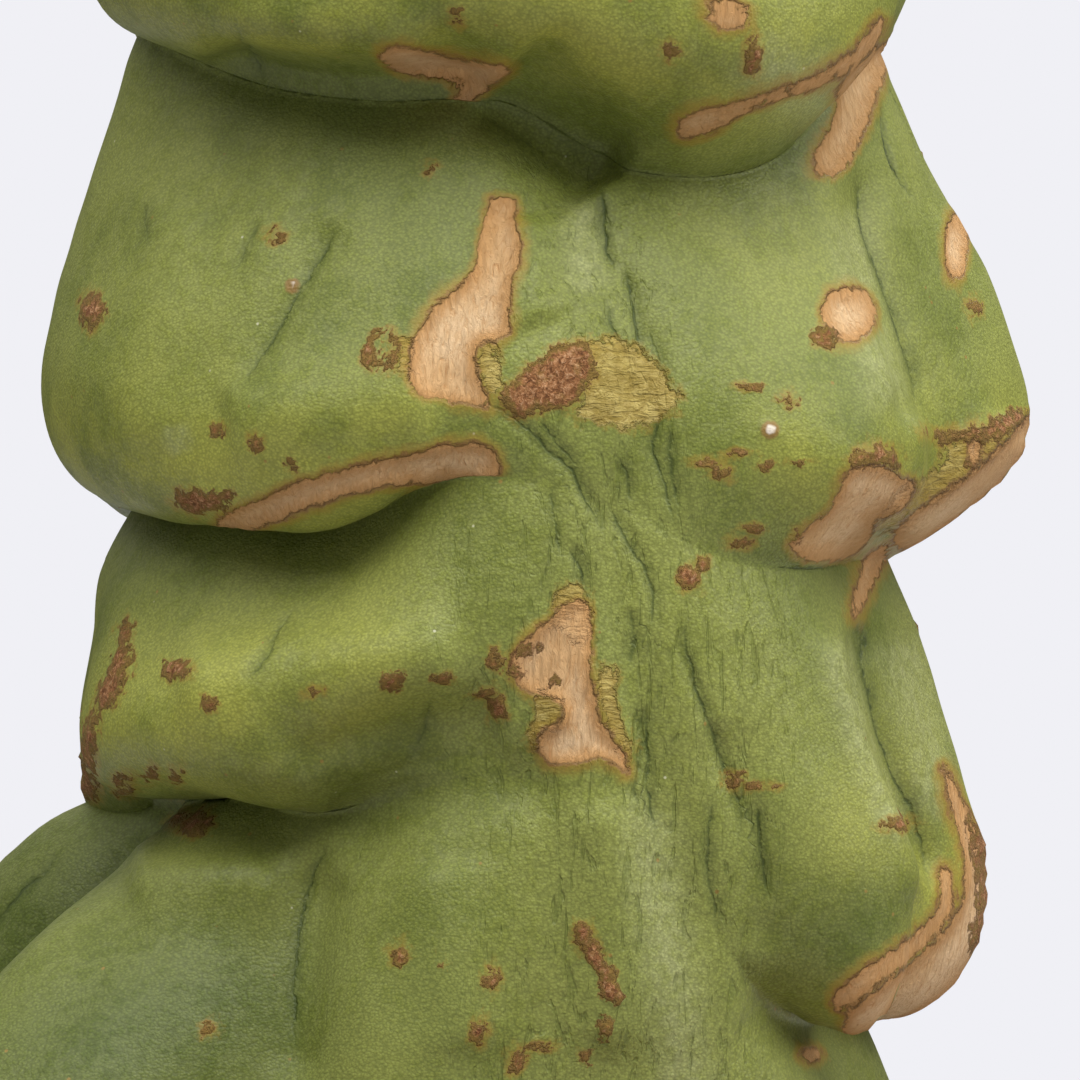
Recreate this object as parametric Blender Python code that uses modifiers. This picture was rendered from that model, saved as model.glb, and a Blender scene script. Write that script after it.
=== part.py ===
"""A potted monstrose column cactus: a lumpy, spineless stem of stacked drooping lobes, standing in a
plain flowerpot on a crock shard, drainage gravel, potting soil and a top dressing of grit.

Run it with blender --background --python part.py, or from Blender's text editor. Sizes are in
millimetres and become metres where a mesh is made. The origin is at the middle of the pot's foot,
+Z is up, and -Y is the front.
"""

import math

import bmesh
import bpy
import numpy as np

MM = 0.001
FIT_GAP = 0.3  # clearance between pieces that touch

# Pot
POT_HEIGHT = 132.0
POT_RIM_RADIUS = 84.0
POT_FOOT_RADIUS = 57.0
POT_WALL = 7.0
POT_FLOOR = 8.0
COLLAR_HEIGHT = 28.0
COLLAR_STEP = 4.0  # how far the collar stands proud of the body
COLLAR_DRAFT = 2.0  # how far the collar narrows from the rim to its lower edge
RIM_ROUND = 2.6
FOOT_ROUND = 1.6
DRAIN_RADIUS = 9.0

# Filling, from the floor up
CROCK_RADIUS = 20.0
CROCK_RISE = 7.0
CROCK_THICKNESS = 3.4
GRAVEL_DEPTH = 18.0
GRIT_DEPTH = 8.0
GRIT_BELOW_RIM = 14.0  # watering space

# Stem
STEM_HEIGHT = 240.0  # above the grit
STEM_GIRTH = 1.0  # multiplies every radius of the stem above its neck
FOLD_BULGE = 8.0  # a lobe that bulges this far or more overhangs its lower crease
NECK_RADIUS = 31.0
NECK_RISE = 2.0  # round neck that shows above the grit
ROOT_DEPTH = 46.0  # buried part, below the top of the grit
ROOT_TIP_RADIUS = 24.0
ROOT_ROUND = 12.0

# Facets
TURNED_STEPS = 48
CORNER_STEPS = 3
DOME_STEPS = 5
STEM_COLUMNS = 60
ROWS_PER_TIER = 8
ROOT_ROWS = 3

# The stem's stations, in degrees round it: 0 faces the front (-Y) and 90 faces +X.
STATIONS = (-165, -135, -108, -84, -66, -48, -28, -8, 8, 24, 38, 52, 66, 92, 122, 152)
NOMINAL_HEIGHT = 240.0  # the height that the rows below are written for

# One entry for each crease between two tiers, from the lowest up: its height above the grit and its
# radius, at each station.
CREASES = (
    (
        (24, 27, 25, 23, 22, 22, 25, 28, 27, 25, 24, 26, 28, 27, 25, 23),
        (33, 34, 33, 34, 33, 33, 32, 33, 34, 33, 33, 32, 31, 32, 33, 33),
    ),
    (
        (52, 55, 50, 48, 47, 46, 50, 54, 52, 48, 46, 48, 51, 50, 48, 50),
        (31, 32, 32, 31, 31, 32, 31, 32, 34, 33, 32, 31, 29, 30, 30, 31),
    ),
    (
        (84, 87, 90, 91, 91, 90.5, 88, 93, 92, 84, 76.4, 74.4, 74, 73.8, 76, 80),
        (28, 28, 29, 28.5, 28, 28, 30, 34, 36.5, 36.5, 35, 32, 29.5, 30, 28, 28),
    ),
    (
        (114, 115, 114, 115.5, 115, 114.4, 114.6, 117, 115, 110, 108, 109, 110, 110.5, 111, 113),
        (28, 28, 30, 31.5, 31, 30, 30, 35.5, 36.5, 35.5, 33, 29, 27.5, 27.6, 28, 28),
    ),
    (
        (145, 147, 151, 152.8, 150, 147.5, 146.2, 145.8, 141.5, 140.2, 141.4, 145, 149, 151, 148, 145),
        (28, 28, 29, 32, 30, 28.5, 28, 27.5, 28, 28.5, 28, 27, 26.5, 27, 28, 28),
    ),
    (
        (178, 175, 179, 183, 182, 180, 178, 180, 183, 182, 177, 175, 178, 182, 180, 176),
        (27, 28, 29, 30, 29, 29, 28, 28, 29, 29, 29, 28, 27, 27, 28, 28),
    ),
    (
        (209, 206, 208, 211, 211, 210, 206, 204, 206, 208, 210, 210, 208, 205, 206, 208),
        (26, 26, 26, 27, 27, 27, 26, 26, 27, 27, 27, 26, 25, 25, 26, 26),
    ),
)

# One entry for each tier, from the lowest up: how far its lobes bulge past the creases, and how far
# their lower lips droop, or lift where negative, at each station.
TIERS = (
    (
        (5, 9, 6, 9, 10, 9, 6, 8, 4, 6, 9, 8, 4, 9, 5, 8),
        (0, 0, 0, 0, 0, 0, 0, 0, 0, 0, 0, 0, 0, 0, 0, 0),
    ),
    (
        (5, 12, 8, 9, 13, 12, 6, 8, 3, 5, 9, 9, 4, 10, 5, 10),
        (0, 2, 1, 1, 3, 3, 1, 1, 0, 1, 2, 2, 0, 2, 0, 2),
    ),
    (
        (6, 12, 27, 10, 22, 20, 5, 5, 0.5, 0.5, 3, 7, 4, 8, 4, 9),
        (0, 1, 3, 1, 3, 3, 1, 0, 0, 0, 0, 1, 0, 1, 0, 1),
    ),
    (
        (5, 10, 6.5, 6.5, 9.5, 10.5, 8, 3, 0.5, 1, 4.5, 9, 6, 9.5, 5, 9),
        (0, 2, 1, 0.5, 1.5, 2, 1.5, 0, 0, 0, 1, 2, 1, 0, 0, 2),
    ),
    (
        (6, 11, 8, 8, 9.5, 10.5, 10, 4, 2.5, 4.5, 8, 9, 7, 11.6, 6, 11),
        (0, 2, 1, 0.5, 1.5, 3, 4, 1, -1, -2, -3, -2, -2, -3, 0, 2),
    ),
    (
        (5, 10, 7, 6, 9, 11, 11, 12, 12, 12, 10.5, 7.5, 4, 3.5, 5, 10),
        (0, 2, 1, 0, -1, -1, -1, -2, -3, -3, -3, -2, 0, 0, 0, 2),
    ),
    (
        (4, 9, 5, 8, 10, 9, 7, 9, 5, 6, 9, 8, 5, 9, 5, 9),
        (0, 2, 0, 1, 3, 2, 1, 2, 0, 1, 2, 1, 0, 2, 0, 2),
    ),
    (
        (5, 9, 5, 9, 10, 9, 6, 9, 5, 5, 8, 8, 5, 9, 5, 9),
        (0, 2, 0, 1, 2, 2, 1, 1, 0, 0, 1, 1, 0, 2, 0, 1),
    ),
)

# The stem's axis leans a little: its sideways place at heights above the grit.
LEAN_HEIGHTS = (0, 30, 60, 82, 105, 150, 190, 240)
LEAN_X = (0, -4, -6, -3.5, 0, 0, 2.5, 3)
LEAN_Y = (0, 1, 1, 0, 0, 0, 1, 2)
LIP_GAIN = 2.5  # brings the peak of a lip's curve to the droop that its row gives
TIP_DIMPLE = 3.0
TIP_DIMPLE_RADIUS = 7.0

GRIT_TOP = POT_HEIGHT - GRIT_BELOW_RIM


def inner_radius(z):
    """The pot's inner wall: a cone from the floor to the rim."""
    low = POT_FOOT_RADIUS - POT_WALL
    high = POT_RIM_RADIUS - COLLAR_STEP - POT_WALL + COLLAR_DRAFT
    return low + (high - low) * (z - POT_FLOOR) / (POT_HEIGHT - POT_FLOOR)


def body_radius(z):
    """The outside of the pot's body, below the collar."""
    high = POT_RIM_RADIUS - COLLAR_STEP - COLLAR_DRAFT
    return POT_FOOT_RADIUS + (high - POT_FOOT_RADIUS) * z / (POT_HEIGHT - COLLAR_HEIGHT)


def material(name, colour, roughness):
    made = bpy.data.materials.new(name)
    made.use_nodes = True
    shader = made.node_tree.nodes["Principled BSDF"]
    shader.inputs["Base Color"].default_value = (*colour, 1.0)
    shader.inputs["Roughness"].default_value = roughness
    shader.inputs["Metallic"].default_value = 0.0
    return made


def rounded(corners):
    """A closed outline from (x, z, radius) corners, in which a corner with a radius becomes an arc."""
    outline = []
    for i, (x, z, radius) in enumerate(corners):
        if radius <= 0:
            outline.append((x, z))
            continue
        before = np.array(corners[i - 1][:2]) - (x, z)
        after = np.array(corners[(i + 1) % len(corners)][:2]) - (x, z)
        before /= np.linalg.norm(before)
        after /= np.linalg.norm(after)
        half = math.acos(float(np.clip(before @ after, -1, 1))) / 2
        middle = (before + after) / np.linalg.norm(before + after)
        centre = np.array((x, z)) + middle * radius / math.sin(half)
        start = np.array((x, z)) + before * radius / math.tan(half) - centre
        end = np.array((x, z)) + after * radius / math.tan(half) - centre
        a0 = math.atan2(start[1], start[0])
        turn = math.atan2(end[1], end[0]) - a0
        turn = (turn + math.pi) % (2 * math.pi) - math.pi
        for k in range(CORNER_STEPS + 1):
            a = a0 + turn * k / CORNER_STEPS
            outline.append((centre[0] + radius * math.cos(a), centre[1] + radius * math.sin(a)))
    return outline


def turned(name, outline, closed, shade):
    """A solid of revolution from an outline in x and z that runs down its outer side."""
    mesh = bpy.data.meshes.new(name)
    points = [(x * MM, 0.0, z * MM) for x, z in outline]
    edges = [(i, i + 1) for i in range(len(points) - 1)]
    if closed:
        edges.append((len(points) - 1, 0))
    mesh.from_pydata(points, edges, [])
    mesh.materials.append(shade)
    piece = bpy.data.objects.new(name, mesh)
    collection.objects.link(piece)
    screw = piece.modifiers.new("turn", "SCREW")
    screw.axis = "Z"
    screw.steps = TURNED_STEPS
    screw.render_steps = TURNED_STEPS
    screw.use_smooth_shade = True
    screw.use_merge_vertices = not closed
    screw.merge_threshold = 0.0001
    return piece


def dome(radius, height, base_z):
    """A dome's profile from its edge at base_z to its crown on the axis: a quarter of an ellipse."""
    turns = [math.pi / 2 * k / DOME_STEPS for k in range(DOME_STEPS)]
    edge = [(radius * math.cos(a), base_z + height * math.sin(a)) for a in turns]
    return edge + [(0.0, base_z + height)]


def make_pot():
    collar_low = POT_HEIGHT - COLLAR_HEIGHT
    corners = [
        (POT_RIM_RADIUS, POT_HEIGHT, RIM_ROUND),
        (POT_RIM_RADIUS - COLLAR_DRAFT, collar_low, RIM_ROUND / 2),
        (body_radius(collar_low), collar_low, 0),
        (body_radius(0), 0, FOOT_ROUND),
        (DRAIN_RADIUS, 0, 0),
        (DRAIN_RADIUS, POT_FLOOR, 0),
        (inner_radius(POT_FLOOR), POT_FLOOR, 0),
        (inner_radius(POT_HEIGHT), POT_HEIGHT, RIM_ROUND),
    ]
    clay = material("clay", (0.55, 0.26, 0.16), 0.85)
    return turned("pot", rounded(corners), True, clay)


def make_crock():
    base = POT_FLOOR + FIT_GAP
    outside = dome(CROCK_RADIUS, CROCK_RISE, base)
    inside = dome(CROCK_RADIUS - CROCK_THICKNESS, CROCK_RISE - CROCK_THICKNESS, base)
    shard = material("shard", (0.50, 0.24, 0.15), 0.9)
    return turned("crock_shard", outside[::-1] + inside, False, shard)


def make_gravel():
    base = POT_FLOOR + FIT_GAP
    top = POT_FLOOR + GRAVEL_DEPTH
    recess = dome(CROCK_RADIUS + FIT_GAP, CROCK_RISE + FIT_GAP, base)
    outline = [
        (0, top),
        (inner_radius(top) - FIT_GAP, top),
        (inner_radius(base) - FIT_GAP, base),
    ] + recess
    stones = material("gravel", (0.33, 0.31, 0.29), 0.95)
    return turned("drainage_gravel", outline, False, stones)


def root_profile(gap):
    """The buried part from its tip on the axis to the neck, grown outwards by gap."""
    tip_z = GRIT_TOP - ROOT_DEPTH
    points = [(0.0, tip_z - gap)]
    flat = ROOT_TIP_RADIUS - ROOT_ROUND
    for k in range(ROOT_ROWS + 1):
        a = math.pi / 2 * k / ROOT_ROWS
        x = flat + (ROOT_ROUND + gap) * math.sin(a)
        points.append((x, tip_z + ROOT_ROUND - (ROOT_ROUND + gap) * math.cos(a)))
    points.append((NECK_RADIUS + gap, GRIT_TOP - GRIT_DEPTH - FIT_GAP))
    return points


def make_soil():
    bottom = POT_FLOOR + GRAVEL_DEPTH + FIT_GAP
    top = GRIT_TOP - GRIT_DEPTH - FIT_GAP
    socket = root_profile(FIT_GAP)
    outline = socket + [
        (inner_radius(top) - FIT_GAP, top),
        (inner_radius(bottom) - FIT_GAP, bottom),
        (0, bottom),
    ]
    earth = material("earth", (0.07, 0.045, 0.03), 0.95)
    return turned("potting_soil", outline, False, earth)


def make_grit():
    bottom = GRIT_TOP - GRIT_DEPTH
    hole = NECK_RADIUS + FIT_GAP
    outline = [
        (hole, GRIT_TOP),
        (inner_radius(GRIT_TOP) - FIT_GAP, GRIT_TOP),
        (inner_radius(bottom) - FIT_GAP, bottom),
        (hole, bottom),
    ]
    grit = material("grit", (0.42, 0.38, 0.33), 0.95)
    return turned("grit_top_dressing", outline, True, grit)


def round_the_stem(row, degrees):
    """A row of station values as a smooth closed curve, read at these angles."""
    at = np.array(STATIONS, float)
    value = np.array(row, float)
    at = np.concatenate([at[-2:] - 360, at, at[:3] + 360])
    value = np.concatenate([value[-2:], value, value[:3]])
    slope = (value[2:] - value[:-2]) / (at[2:] - at[:-2])
    degrees = (np.asarray(degrees, float) - STATIONS[0]) % 360 + STATIONS[0]
    i = np.clip(np.searchsorted(at, degrees, side="right") - 1, 1, len(at) - 3)
    step = at[i + 1] - at[i]
    s = (degrees - at[i]) / step
    return (
        value[i] * (1 + 2 * s) * (1 - s) ** 2
        + slope[i - 1] * step * s * (1 - s) ** 2
        + value[i + 1] * s * s * (3 - 2 * s)
        + slope[i] * step * s * s * (s - 1)
    )


def tier_profile(tier, u, degrees):
    """Radius and height above the grit at u, from 0 at a tier's lower crease to 1 at its upper one."""
    bulge = STEM_GIRTH * round_the_stem(TIERS[tier][0], degrees)
    droop = round_the_stem(TIERS[tier][1], degrees)
    tall = STEM_HEIGHT / NOMINAL_HEIGHT
    lip = droop * LIP_GAIN * np.sin(math.pi * u) * (1 - u) ** 2
    if tier == 0:
        low_z = np.full_like(bulge, NECK_RISE)
        low_r = np.full_like(bulge, NECK_RADIUS)
    else:
        low_z = tall * round_the_stem(CREASES[tier - 1][0], degrees)
        low_r = STEM_GIRTH * round_the_stem(CREASES[tier - 1][1], degrees)
    if tier == len(TIERS) - 1:
        quarter = math.pi / 2 * u
        radius = low_r * np.cos(quarter) + bulge * np.sin(math.pi * u)
        height = low_z + (STEM_HEIGHT - low_z) * np.sin(quarter) - lip
        dimple = TIP_DIMPLE * np.exp(-((radius / TIP_DIMPLE_RADIUS) ** 2))
        return radius, height - dimple
    high_z = tall * round_the_stem(CREASES[tier][0], degrees)
    high_r = STEM_GIRTH * round_the_stem(CREASES[tier][1], degrees)
    fold = np.clip(bulge / (FOLD_BULGE * STEM_GIRTH), 0, 1)
    share = u + (u**2 - u) * fold
    radius = low_r + (high_r - low_r) * share + bulge * np.sin(math.pi * u)
    return radius, low_z + (high_z - low_z) * share - lip


def make_stem():
    """A grid of columns round the stem and rows up it, closed at the seam and at both poles."""
    roots = root_profile(0.0)[:-1]
    roots += [(NECK_RADIUS, GRIT_TOP - GRIT_DEPTH - FIT_GAP), (NECK_RADIUS, GRIT_TOP)]
    rows = len(roots) + len(TIERS) * ROWS_PER_TIER
    build = bmesh.new()
    bmesh.ops.create_grid(build, x_segments=STEM_COLUMNS, y_segments=rows, size=0.5)
    grid = np.array([v.co for v in build.verts])
    degrees = (grid[:, 0] + 0.5) * 360 - 180
    row = np.rint((grid[:, 1] + 0.5) * rows).astype(int)
    radius = np.zeros(len(grid))
    height = np.zeros(len(grid))
    for i, (x, z) in enumerate(roots):
        here = row == i
        radius[here] = x
        height[here] = z - GRIT_TOP
    for tier in range(len(TIERS)):
        first = len(roots) + tier * ROWS_PER_TIER
        last = first + ROWS_PER_TIER
        top = tier == len(TIERS) - 1
        here = (row >= first) & ((row <= last) if top else (row < last))
        u = (row[here] - first) / ROWS_PER_TIER
        radius[here], height[here] = tier_profile(tier, u, degrees[here])
    tall = STEM_HEIGHT / NOMINAL_HEIGHT
    lean_x = np.interp(height, np.array(LEAN_HEIGHTS) * tall, LEAN_X)
    lean_y = np.interp(height, np.array(LEAN_HEIGHTS) * tall, LEAN_Y)
    around = np.radians(degrees)
    x = (radius * np.sin(around) + lean_x) * MM
    y = (-radius * np.cos(around) + lean_y) * MM
    z = (GRIT_TOP + height) * MM
    for v, place in zip(build.verts, np.stack([x, y, z], axis=1)):
        v.co = place
    bmesh.ops.remove_doubles(build, verts=build.verts, dist=0.01 * MM)
    bmesh.ops.recalc_face_normals(build, faces=build.faces)
    mesh = bpy.data.meshes.new("cactus_stem")
    build.to_mesh(mesh)
    build.free()
    mesh.materials.append(material("cactus_skin", (0.22, 0.25, 0.07), 0.55))
    mesh.shade_smooth()
    stem = bpy.data.objects.new("cactus_stem", mesh)
    collection.objects.link(stem)
    return stem


for old in list(bpy.data.objects):
    bpy.data.objects.remove(old)
collection = bpy.data.collections.new("potted_cactus")
bpy.context.scene.collection.children.link(collection)

make_pot()
make_crock()
make_gravel()
make_soil()
make_grit()
make_stem()
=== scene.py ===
import math
import random

import bmesh
import bpy
import numpy as np
from mathutils import Matrix, Vector, noise


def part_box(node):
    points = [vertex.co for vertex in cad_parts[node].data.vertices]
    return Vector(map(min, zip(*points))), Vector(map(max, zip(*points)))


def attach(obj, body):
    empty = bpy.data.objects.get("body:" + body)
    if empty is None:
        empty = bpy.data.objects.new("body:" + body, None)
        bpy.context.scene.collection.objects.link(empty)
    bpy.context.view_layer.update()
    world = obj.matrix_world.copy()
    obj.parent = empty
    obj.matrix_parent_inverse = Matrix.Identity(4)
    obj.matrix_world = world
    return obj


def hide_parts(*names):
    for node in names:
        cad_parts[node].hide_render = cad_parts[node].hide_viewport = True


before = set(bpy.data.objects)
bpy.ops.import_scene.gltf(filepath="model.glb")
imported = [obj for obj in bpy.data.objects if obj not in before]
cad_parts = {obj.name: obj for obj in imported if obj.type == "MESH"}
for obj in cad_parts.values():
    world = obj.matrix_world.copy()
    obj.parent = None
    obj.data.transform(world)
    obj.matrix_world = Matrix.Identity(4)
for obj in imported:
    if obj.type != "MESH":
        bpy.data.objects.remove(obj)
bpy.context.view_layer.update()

# Lengths are in millimetres and become metres where a mesh is made. Heights on the stem are above
# the grit.
MM = 0.001
GRIT_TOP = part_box("grit_top_dressing")[1].z
GRIT_DEPTH = (GRIT_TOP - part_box("grit_top_dressing")[0].z) / MM
RIM_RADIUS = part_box("pot")[1].x / MM
POT_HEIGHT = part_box("pot")[1].z / MM
STEM_HEIGHT = 240.0  # above the grit
ROOT_TIP = (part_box("cactus_stem")[0].z - GRIT_TOP) / MM


# ---------------------------------------------------------------- the stem's form

# Stations in degrees round the stem: 0 faces the front (-Y) and 90 faces +X.
STATIONS = (-165, -135, -108, -84, -66, -48, -28, -8, 8, 24, 38, 52, 66, 92, 122, 152)

# Each crease between two tiers, from the lowest up: heights and radii at the stations.
CREASES = (
    ((24, 27, 25, 23, 22, 22, 25, 28, 27, 25, 24, 26, 28, 27, 25, 23),
     (33, 34, 33, 34, 33, 33, 32, 33, 34, 33, 33, 32, 31, 32, 33, 33)),
    ((52, 55, 50, 48, 47, 46, 50, 54, 52, 48, 46, 48, 51, 50, 48, 50),
     (31, 32, 32, 31, 31, 32, 31, 32, 34, 33, 32, 31, 29, 30, 30, 31)),
    ((84, 87, 90, 91, 91.6, 92, 91, 93.4, 92, 84, 76.4, 74.4, 74, 73.8, 76, 80),
     (28, 28, 29, 28.5, 28, 28, 30, 34, 36.5, 36.5, 35, 32, 29.5, 30, 28, 28)),
    ((114, 115, 114, 115.5, 115, 114.4, 114.6, 117, 115, 110.6, 109.8, 110.2, 110.4, 110.5, 111,
      113),
     (28, 28, 30, 31.5, 31, 30, 30, 35.5, 36.5, 35.5, 33, 29, 27.5, 27.6, 28, 28)),
    ((145, 147, 151, 152.8, 150, 147.5, 146.2, 145.8, 141.5, 140.2, 141.4, 145, 149, 151, 148,
      145),
     (28, 28, 29, 32, 30, 28.5, 28, 27.5, 28, 28.5, 28, 27, 26.5, 27, 28, 28)),
    ((178, 175, 179, 183, 182, 180, 178, 180, 183, 182, 177, 175, 178, 182, 180, 176),
     (27, 28, 29, 30, 29, 29, 28, 28, 29, 29, 29, 28, 27, 27, 28, 28)),
    ((209, 206, 208, 211, 211, 210, 206, 204, 206, 208, 210, 210, 208, 205, 206, 208),
     (26, 26, 26, 27, 27, 27, 26, 26, 27, 27, 27, 26, 25, 25, 26, 26)),
)

# Each tier, from the lowest up: bulge and droop at the stations, then its rows of vertices and how
# they are spread, over 1 towards the lower crease and under 1 towards the upper one.
TIERS = (
    ((5, 9, 6, 9, 10, 9, 6, 8, 4, 6, 9, 8, 4, 9, 5, 8),
     (0, 0, 0, 0, 0, 0, 0, 0, 0, 0, 0, 0, 0, 0, 0, 0), 16, 1.0),
    ((5, 12, 8, 9, 13, 12, 6, 8, 3, 5, 9, 9, 4, 10, 5, 10),
     (0, 2, 1, 1, 3, 3, 1, 1, 0, 1, 2, 2, 0, 2, 0, 2), 20, 1.0),
    ((6, 12, 27, 10, 22, 20, 5, 5, 0.5, 0.5, 3, 7, 4, 8, 4, 9),
     (0, 1, 3, 1, 3, 3, 1, 0, 0, 0, 0, 1, 0, 1, 0, 1), 54, 0.8),
    ((5, 10, 6.5, 6.5, 9.5, 10.5, 8, 3, 0.5, 1, 4.5, 9, 6, 9.5, 5, 9),
     (0, 2, 1, 0.5, 0.8, 0.3, 0.2, 0, 0, 0, 1, 2, 1, 0, 0, 2), 66, 1.0),
    ((6, 11, 8, 8, 9.5, 10.5, 10, 4, 2.5, 4.5, 8, 9, 7, 11.6, 6, 11),
     (0, 2, 1, 0.5, 1.5, 2, 3.2, 1, -1, -2, -3.2, -2.6, -2, -3, 0, 2), 66, 1.0),
    ((5, 10, 7, 6, 9, 11, 11, 12, 12, 12, 10.5, 7.5, 4, 3.5, 5, 10),
     (0, 2, 1, 0, -1, -1, -1, -2, -3, -3, -3, -2, 0, 0, 0, 2), 36, 1.3),
    ((4, 9, 5, 8, 10, 9, 7, 9, 5, 6, 9, 8, 5, 9, 5, 9),
     (0, 2, 0, 1, 3, 2, 1, 2, 0, 1, 2, 1, 0, 2, 0, 2), 16, 1.0),
    ((5, 9, 5, 9, 10, 9, 6, 9, 5, 5, 8, 8, 5, 9, 5, 9),
     (0, 2, 0, 1, 2, 2, 1, 1, 0, 0, 1, 1, 0, 2, 0, 1), 20, 1.0),
)
FOLD_BULGE = 8.0  # a lobe that bulges this far or more folds sharply
LIP_GAIN = 2.5  # brings the peak of a lip's curve to the droop that its row gives
NECK_RADIUS = 31.0
NECK_RISE = 2.0
ROOT_TIP_RADIUS = 24.0
ROOT_ROUND = 12.0
ROOT_ROWS = 4
TIP_DIMPLE = 3.0
TIP_DIMPLE_RADIUS = 7.0
LEAN_HEIGHTS = (0, 30, 60, 82, 105, 150, 190, 240)
LEAN_X = (0, -4, -6, -3.5, 0, 0, 2.5, 3)
LEAN_Y = (0, 1, 1, 0, 0, 0, 1, 2)
STEM_COLUMNS = 328
COLUMN_CROWDING = 25.0  # degrees by which columns crowd towards the front
MARK_REACH = 4.0  # how far from its edge a mark is still measured
STRAY_WRINKLES = 46  # on the sides, back and upper tiers
STRAY_HALF_WIDTH = 0.45
TYPICAL_DEGREES = -48.0  # the tiers' rows are spaced for the lobes here
WRINKLE_GROUPS = 3  # wrinkles that run side by side are kept in different groups
SOFT_CREASE = 4  # the crease above this tier is a soft fold, with a fainter painted shadow line
SOFT_SEAM = 0.22  # how much fainter
WIDE_CREST = 3  # the tier whose yellow crest, partly painted highlight, is wider
FOLD_SHADE_REACH, FOLD_SHADE_SHARE = 3.0, 0.30  # painted shade: deeper green beside a crease, where the fold's shade falls
BROAD_LUMPS, SMALL_LUMPS = (13, 0.55), (4.6, 0.14)  # their size and height
CORK_SUNK, CORK_RIM = 0.16, 0.16
STAIN_RISE, PIMPLE_RISE = 0.10, 0.45
CRUST_RISE, CRUST_ROUGH = 0.22, 0.35
WRINKLE_DEPTH = 0.7  # share of a wrinkle's depth that is cut in the surface

# The close view that scars and wrinkles are laid out for, from the front.
EYE_HEIGHT = 112.0
EYE_DISTANCE = 900.0
CLOSE_HALF_WIDTH = 44  # what the close view takes in, with a little to spare
CLOSE_LOW, CLOSE_HIGH = 67, 157


def round_the_stem(row, degrees):
    """A row of station values as a smooth closed curve, read at these angles."""
    at = np.array(STATIONS, float)
    value = np.array(row, float)
    at = np.concatenate([at[-2:] - 360, at, at[:3] + 360])
    value = np.concatenate([value[-2:], value, value[:3]])
    slope = (value[2:] - value[:-2]) / (at[2:] - at[:-2])
    degrees = (np.asarray(degrees, float) - STATIONS[0]) % 360 + STATIONS[0]
    i = np.clip(np.searchsorted(at, degrees, side="right") - 1, 1, len(at) - 3)
    step = at[i + 1] - at[i]
    s = (degrees - at[i]) / step
    return (
        value[i] * (1 + 2 * s) * (1 - s) ** 2
        + slope[i - 1] * step * s * (1 - s) ** 2
        + value[i + 1] * s * s * (3 - 2 * s)
        + slope[i] * step * s * s * (s - 1)
    )


def tier_profile(tier, u, degrees):
    """Radius and height at u, from 0 at a tier's lower crease to 1 at its upper one."""
    bulge = round_the_stem(TIERS[tier][0], degrees)
    droop = round_the_stem(TIERS[tier][1], degrees)
    lip = droop * LIP_GAIN * np.sin(math.pi * u) * (1 - u) ** 2
    if tier == 0:
        low_z = np.full_like(bulge, NECK_RISE)
        low_r = np.full_like(bulge, NECK_RADIUS)
    else:
        low_z = round_the_stem(CREASES[tier - 1][0], degrees)
        low_r = round_the_stem(CREASES[tier - 1][1], degrees)
    if tier == len(TIERS) - 1:
        quarter = math.pi / 2 * u
        radius = low_r * np.cos(quarter) + bulge * np.sin(math.pi * u)
        height = low_z + (STEM_HEIGHT - low_z) * np.sin(quarter) - lip
        return radius, height - TIP_DIMPLE * np.exp(-((radius / TIP_DIMPLE_RADIUS) ** 2))
    high_z = round_the_stem(CREASES[tier][0], degrees)
    high_r = round_the_stem(CREASES[tier][1], degrees)
    fold = np.clip(bulge / FOLD_BULGE, 0, 1)
    share = u + (u**2 - u) * fold
    radius = low_r + (high_r - low_r) * share + bulge * np.sin(math.pi * u)
    return radius, low_z + (high_z - low_z) * share - lip


def even_rows(tier):
    """The u of each row of a tier, spaced evenly along a typical profile."""
    count, spread = TIERS[tier][2:]
    u = np.linspace(0, 1, 400)
    radius, height = tier_profile(tier, u, np.full_like(u, TYPICAL_DEGREES))
    length = np.concatenate([[0], np.cumsum(np.hypot(np.diff(radius), np.diff(height)))])
    share = (np.arange(count) / count) ** spread
    return np.interp(share * length[-1], length, u)


def stem_rows():
    """Every row from the buried tip up, as (tier, u) or, under the grit, (None, (r, z))."""
    rows = [(None, (0.0, ROOT_TIP))]
    for k in range(ROOT_ROWS + 1):
        a = math.pi / 2 * k / ROOT_ROWS
        r = ROOT_TIP_RADIUS - ROOT_ROUND * (1 - math.sin(a))
        rows.append((None, (r, ROOT_TIP + ROOT_ROUND * (1 - math.cos(a)))))
    rows += [(None, (NECK_RADIUS, -GRIT_DEPTH)), (None, (NECK_RADIUS, 0.0))]
    for tier in range(len(TIERS)):
        rows += [(tier, u) for u in even_rows(tier)]
    rows.append((len(TIERS) - 1, 1.0))
    return rows


def bare_stem(rows, degrees):
    """The stem's smooth surface as an array of rows x columns x (x, y, height)."""
    place = np.zeros((len(rows), len(degrees), 3))
    for i, (tier, at) in enumerate(rows):
        if tier is None:
            radius, height = (np.full_like(degrees, value) for value in at)
        else:
            radius, height = tier_profile(tier, np.full_like(degrees, at), degrees)
        around = np.radians(degrees)
        place[i, :, 0] = radius * np.sin(around) + np.interp(height, LEAN_HEIGHTS, LEAN_X)
        place[i, :, 1] = -radius * np.cos(around) + np.interp(height, LEAN_HEIGHTS, LEAN_Y)
        place[i, :, 2] = height
    return place


def surface_normals(place):
    """Outward unit normals of rows x columns of places that close on themselves sideways."""
    along = np.gradient(place, axis=0)
    ring = np.concatenate([place[:, -2:-1], place, place[:, 1:2]], axis=1)
    across = (ring[:, 2:] - ring[:, :-2]) / 2
    normal = np.cross(across, along)
    return normal / np.maximum(np.linalg.norm(normal, axis=2, keepdims=True), 1e-9)


# ---------------------------------------------------------------- scars and wrinkles

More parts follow.
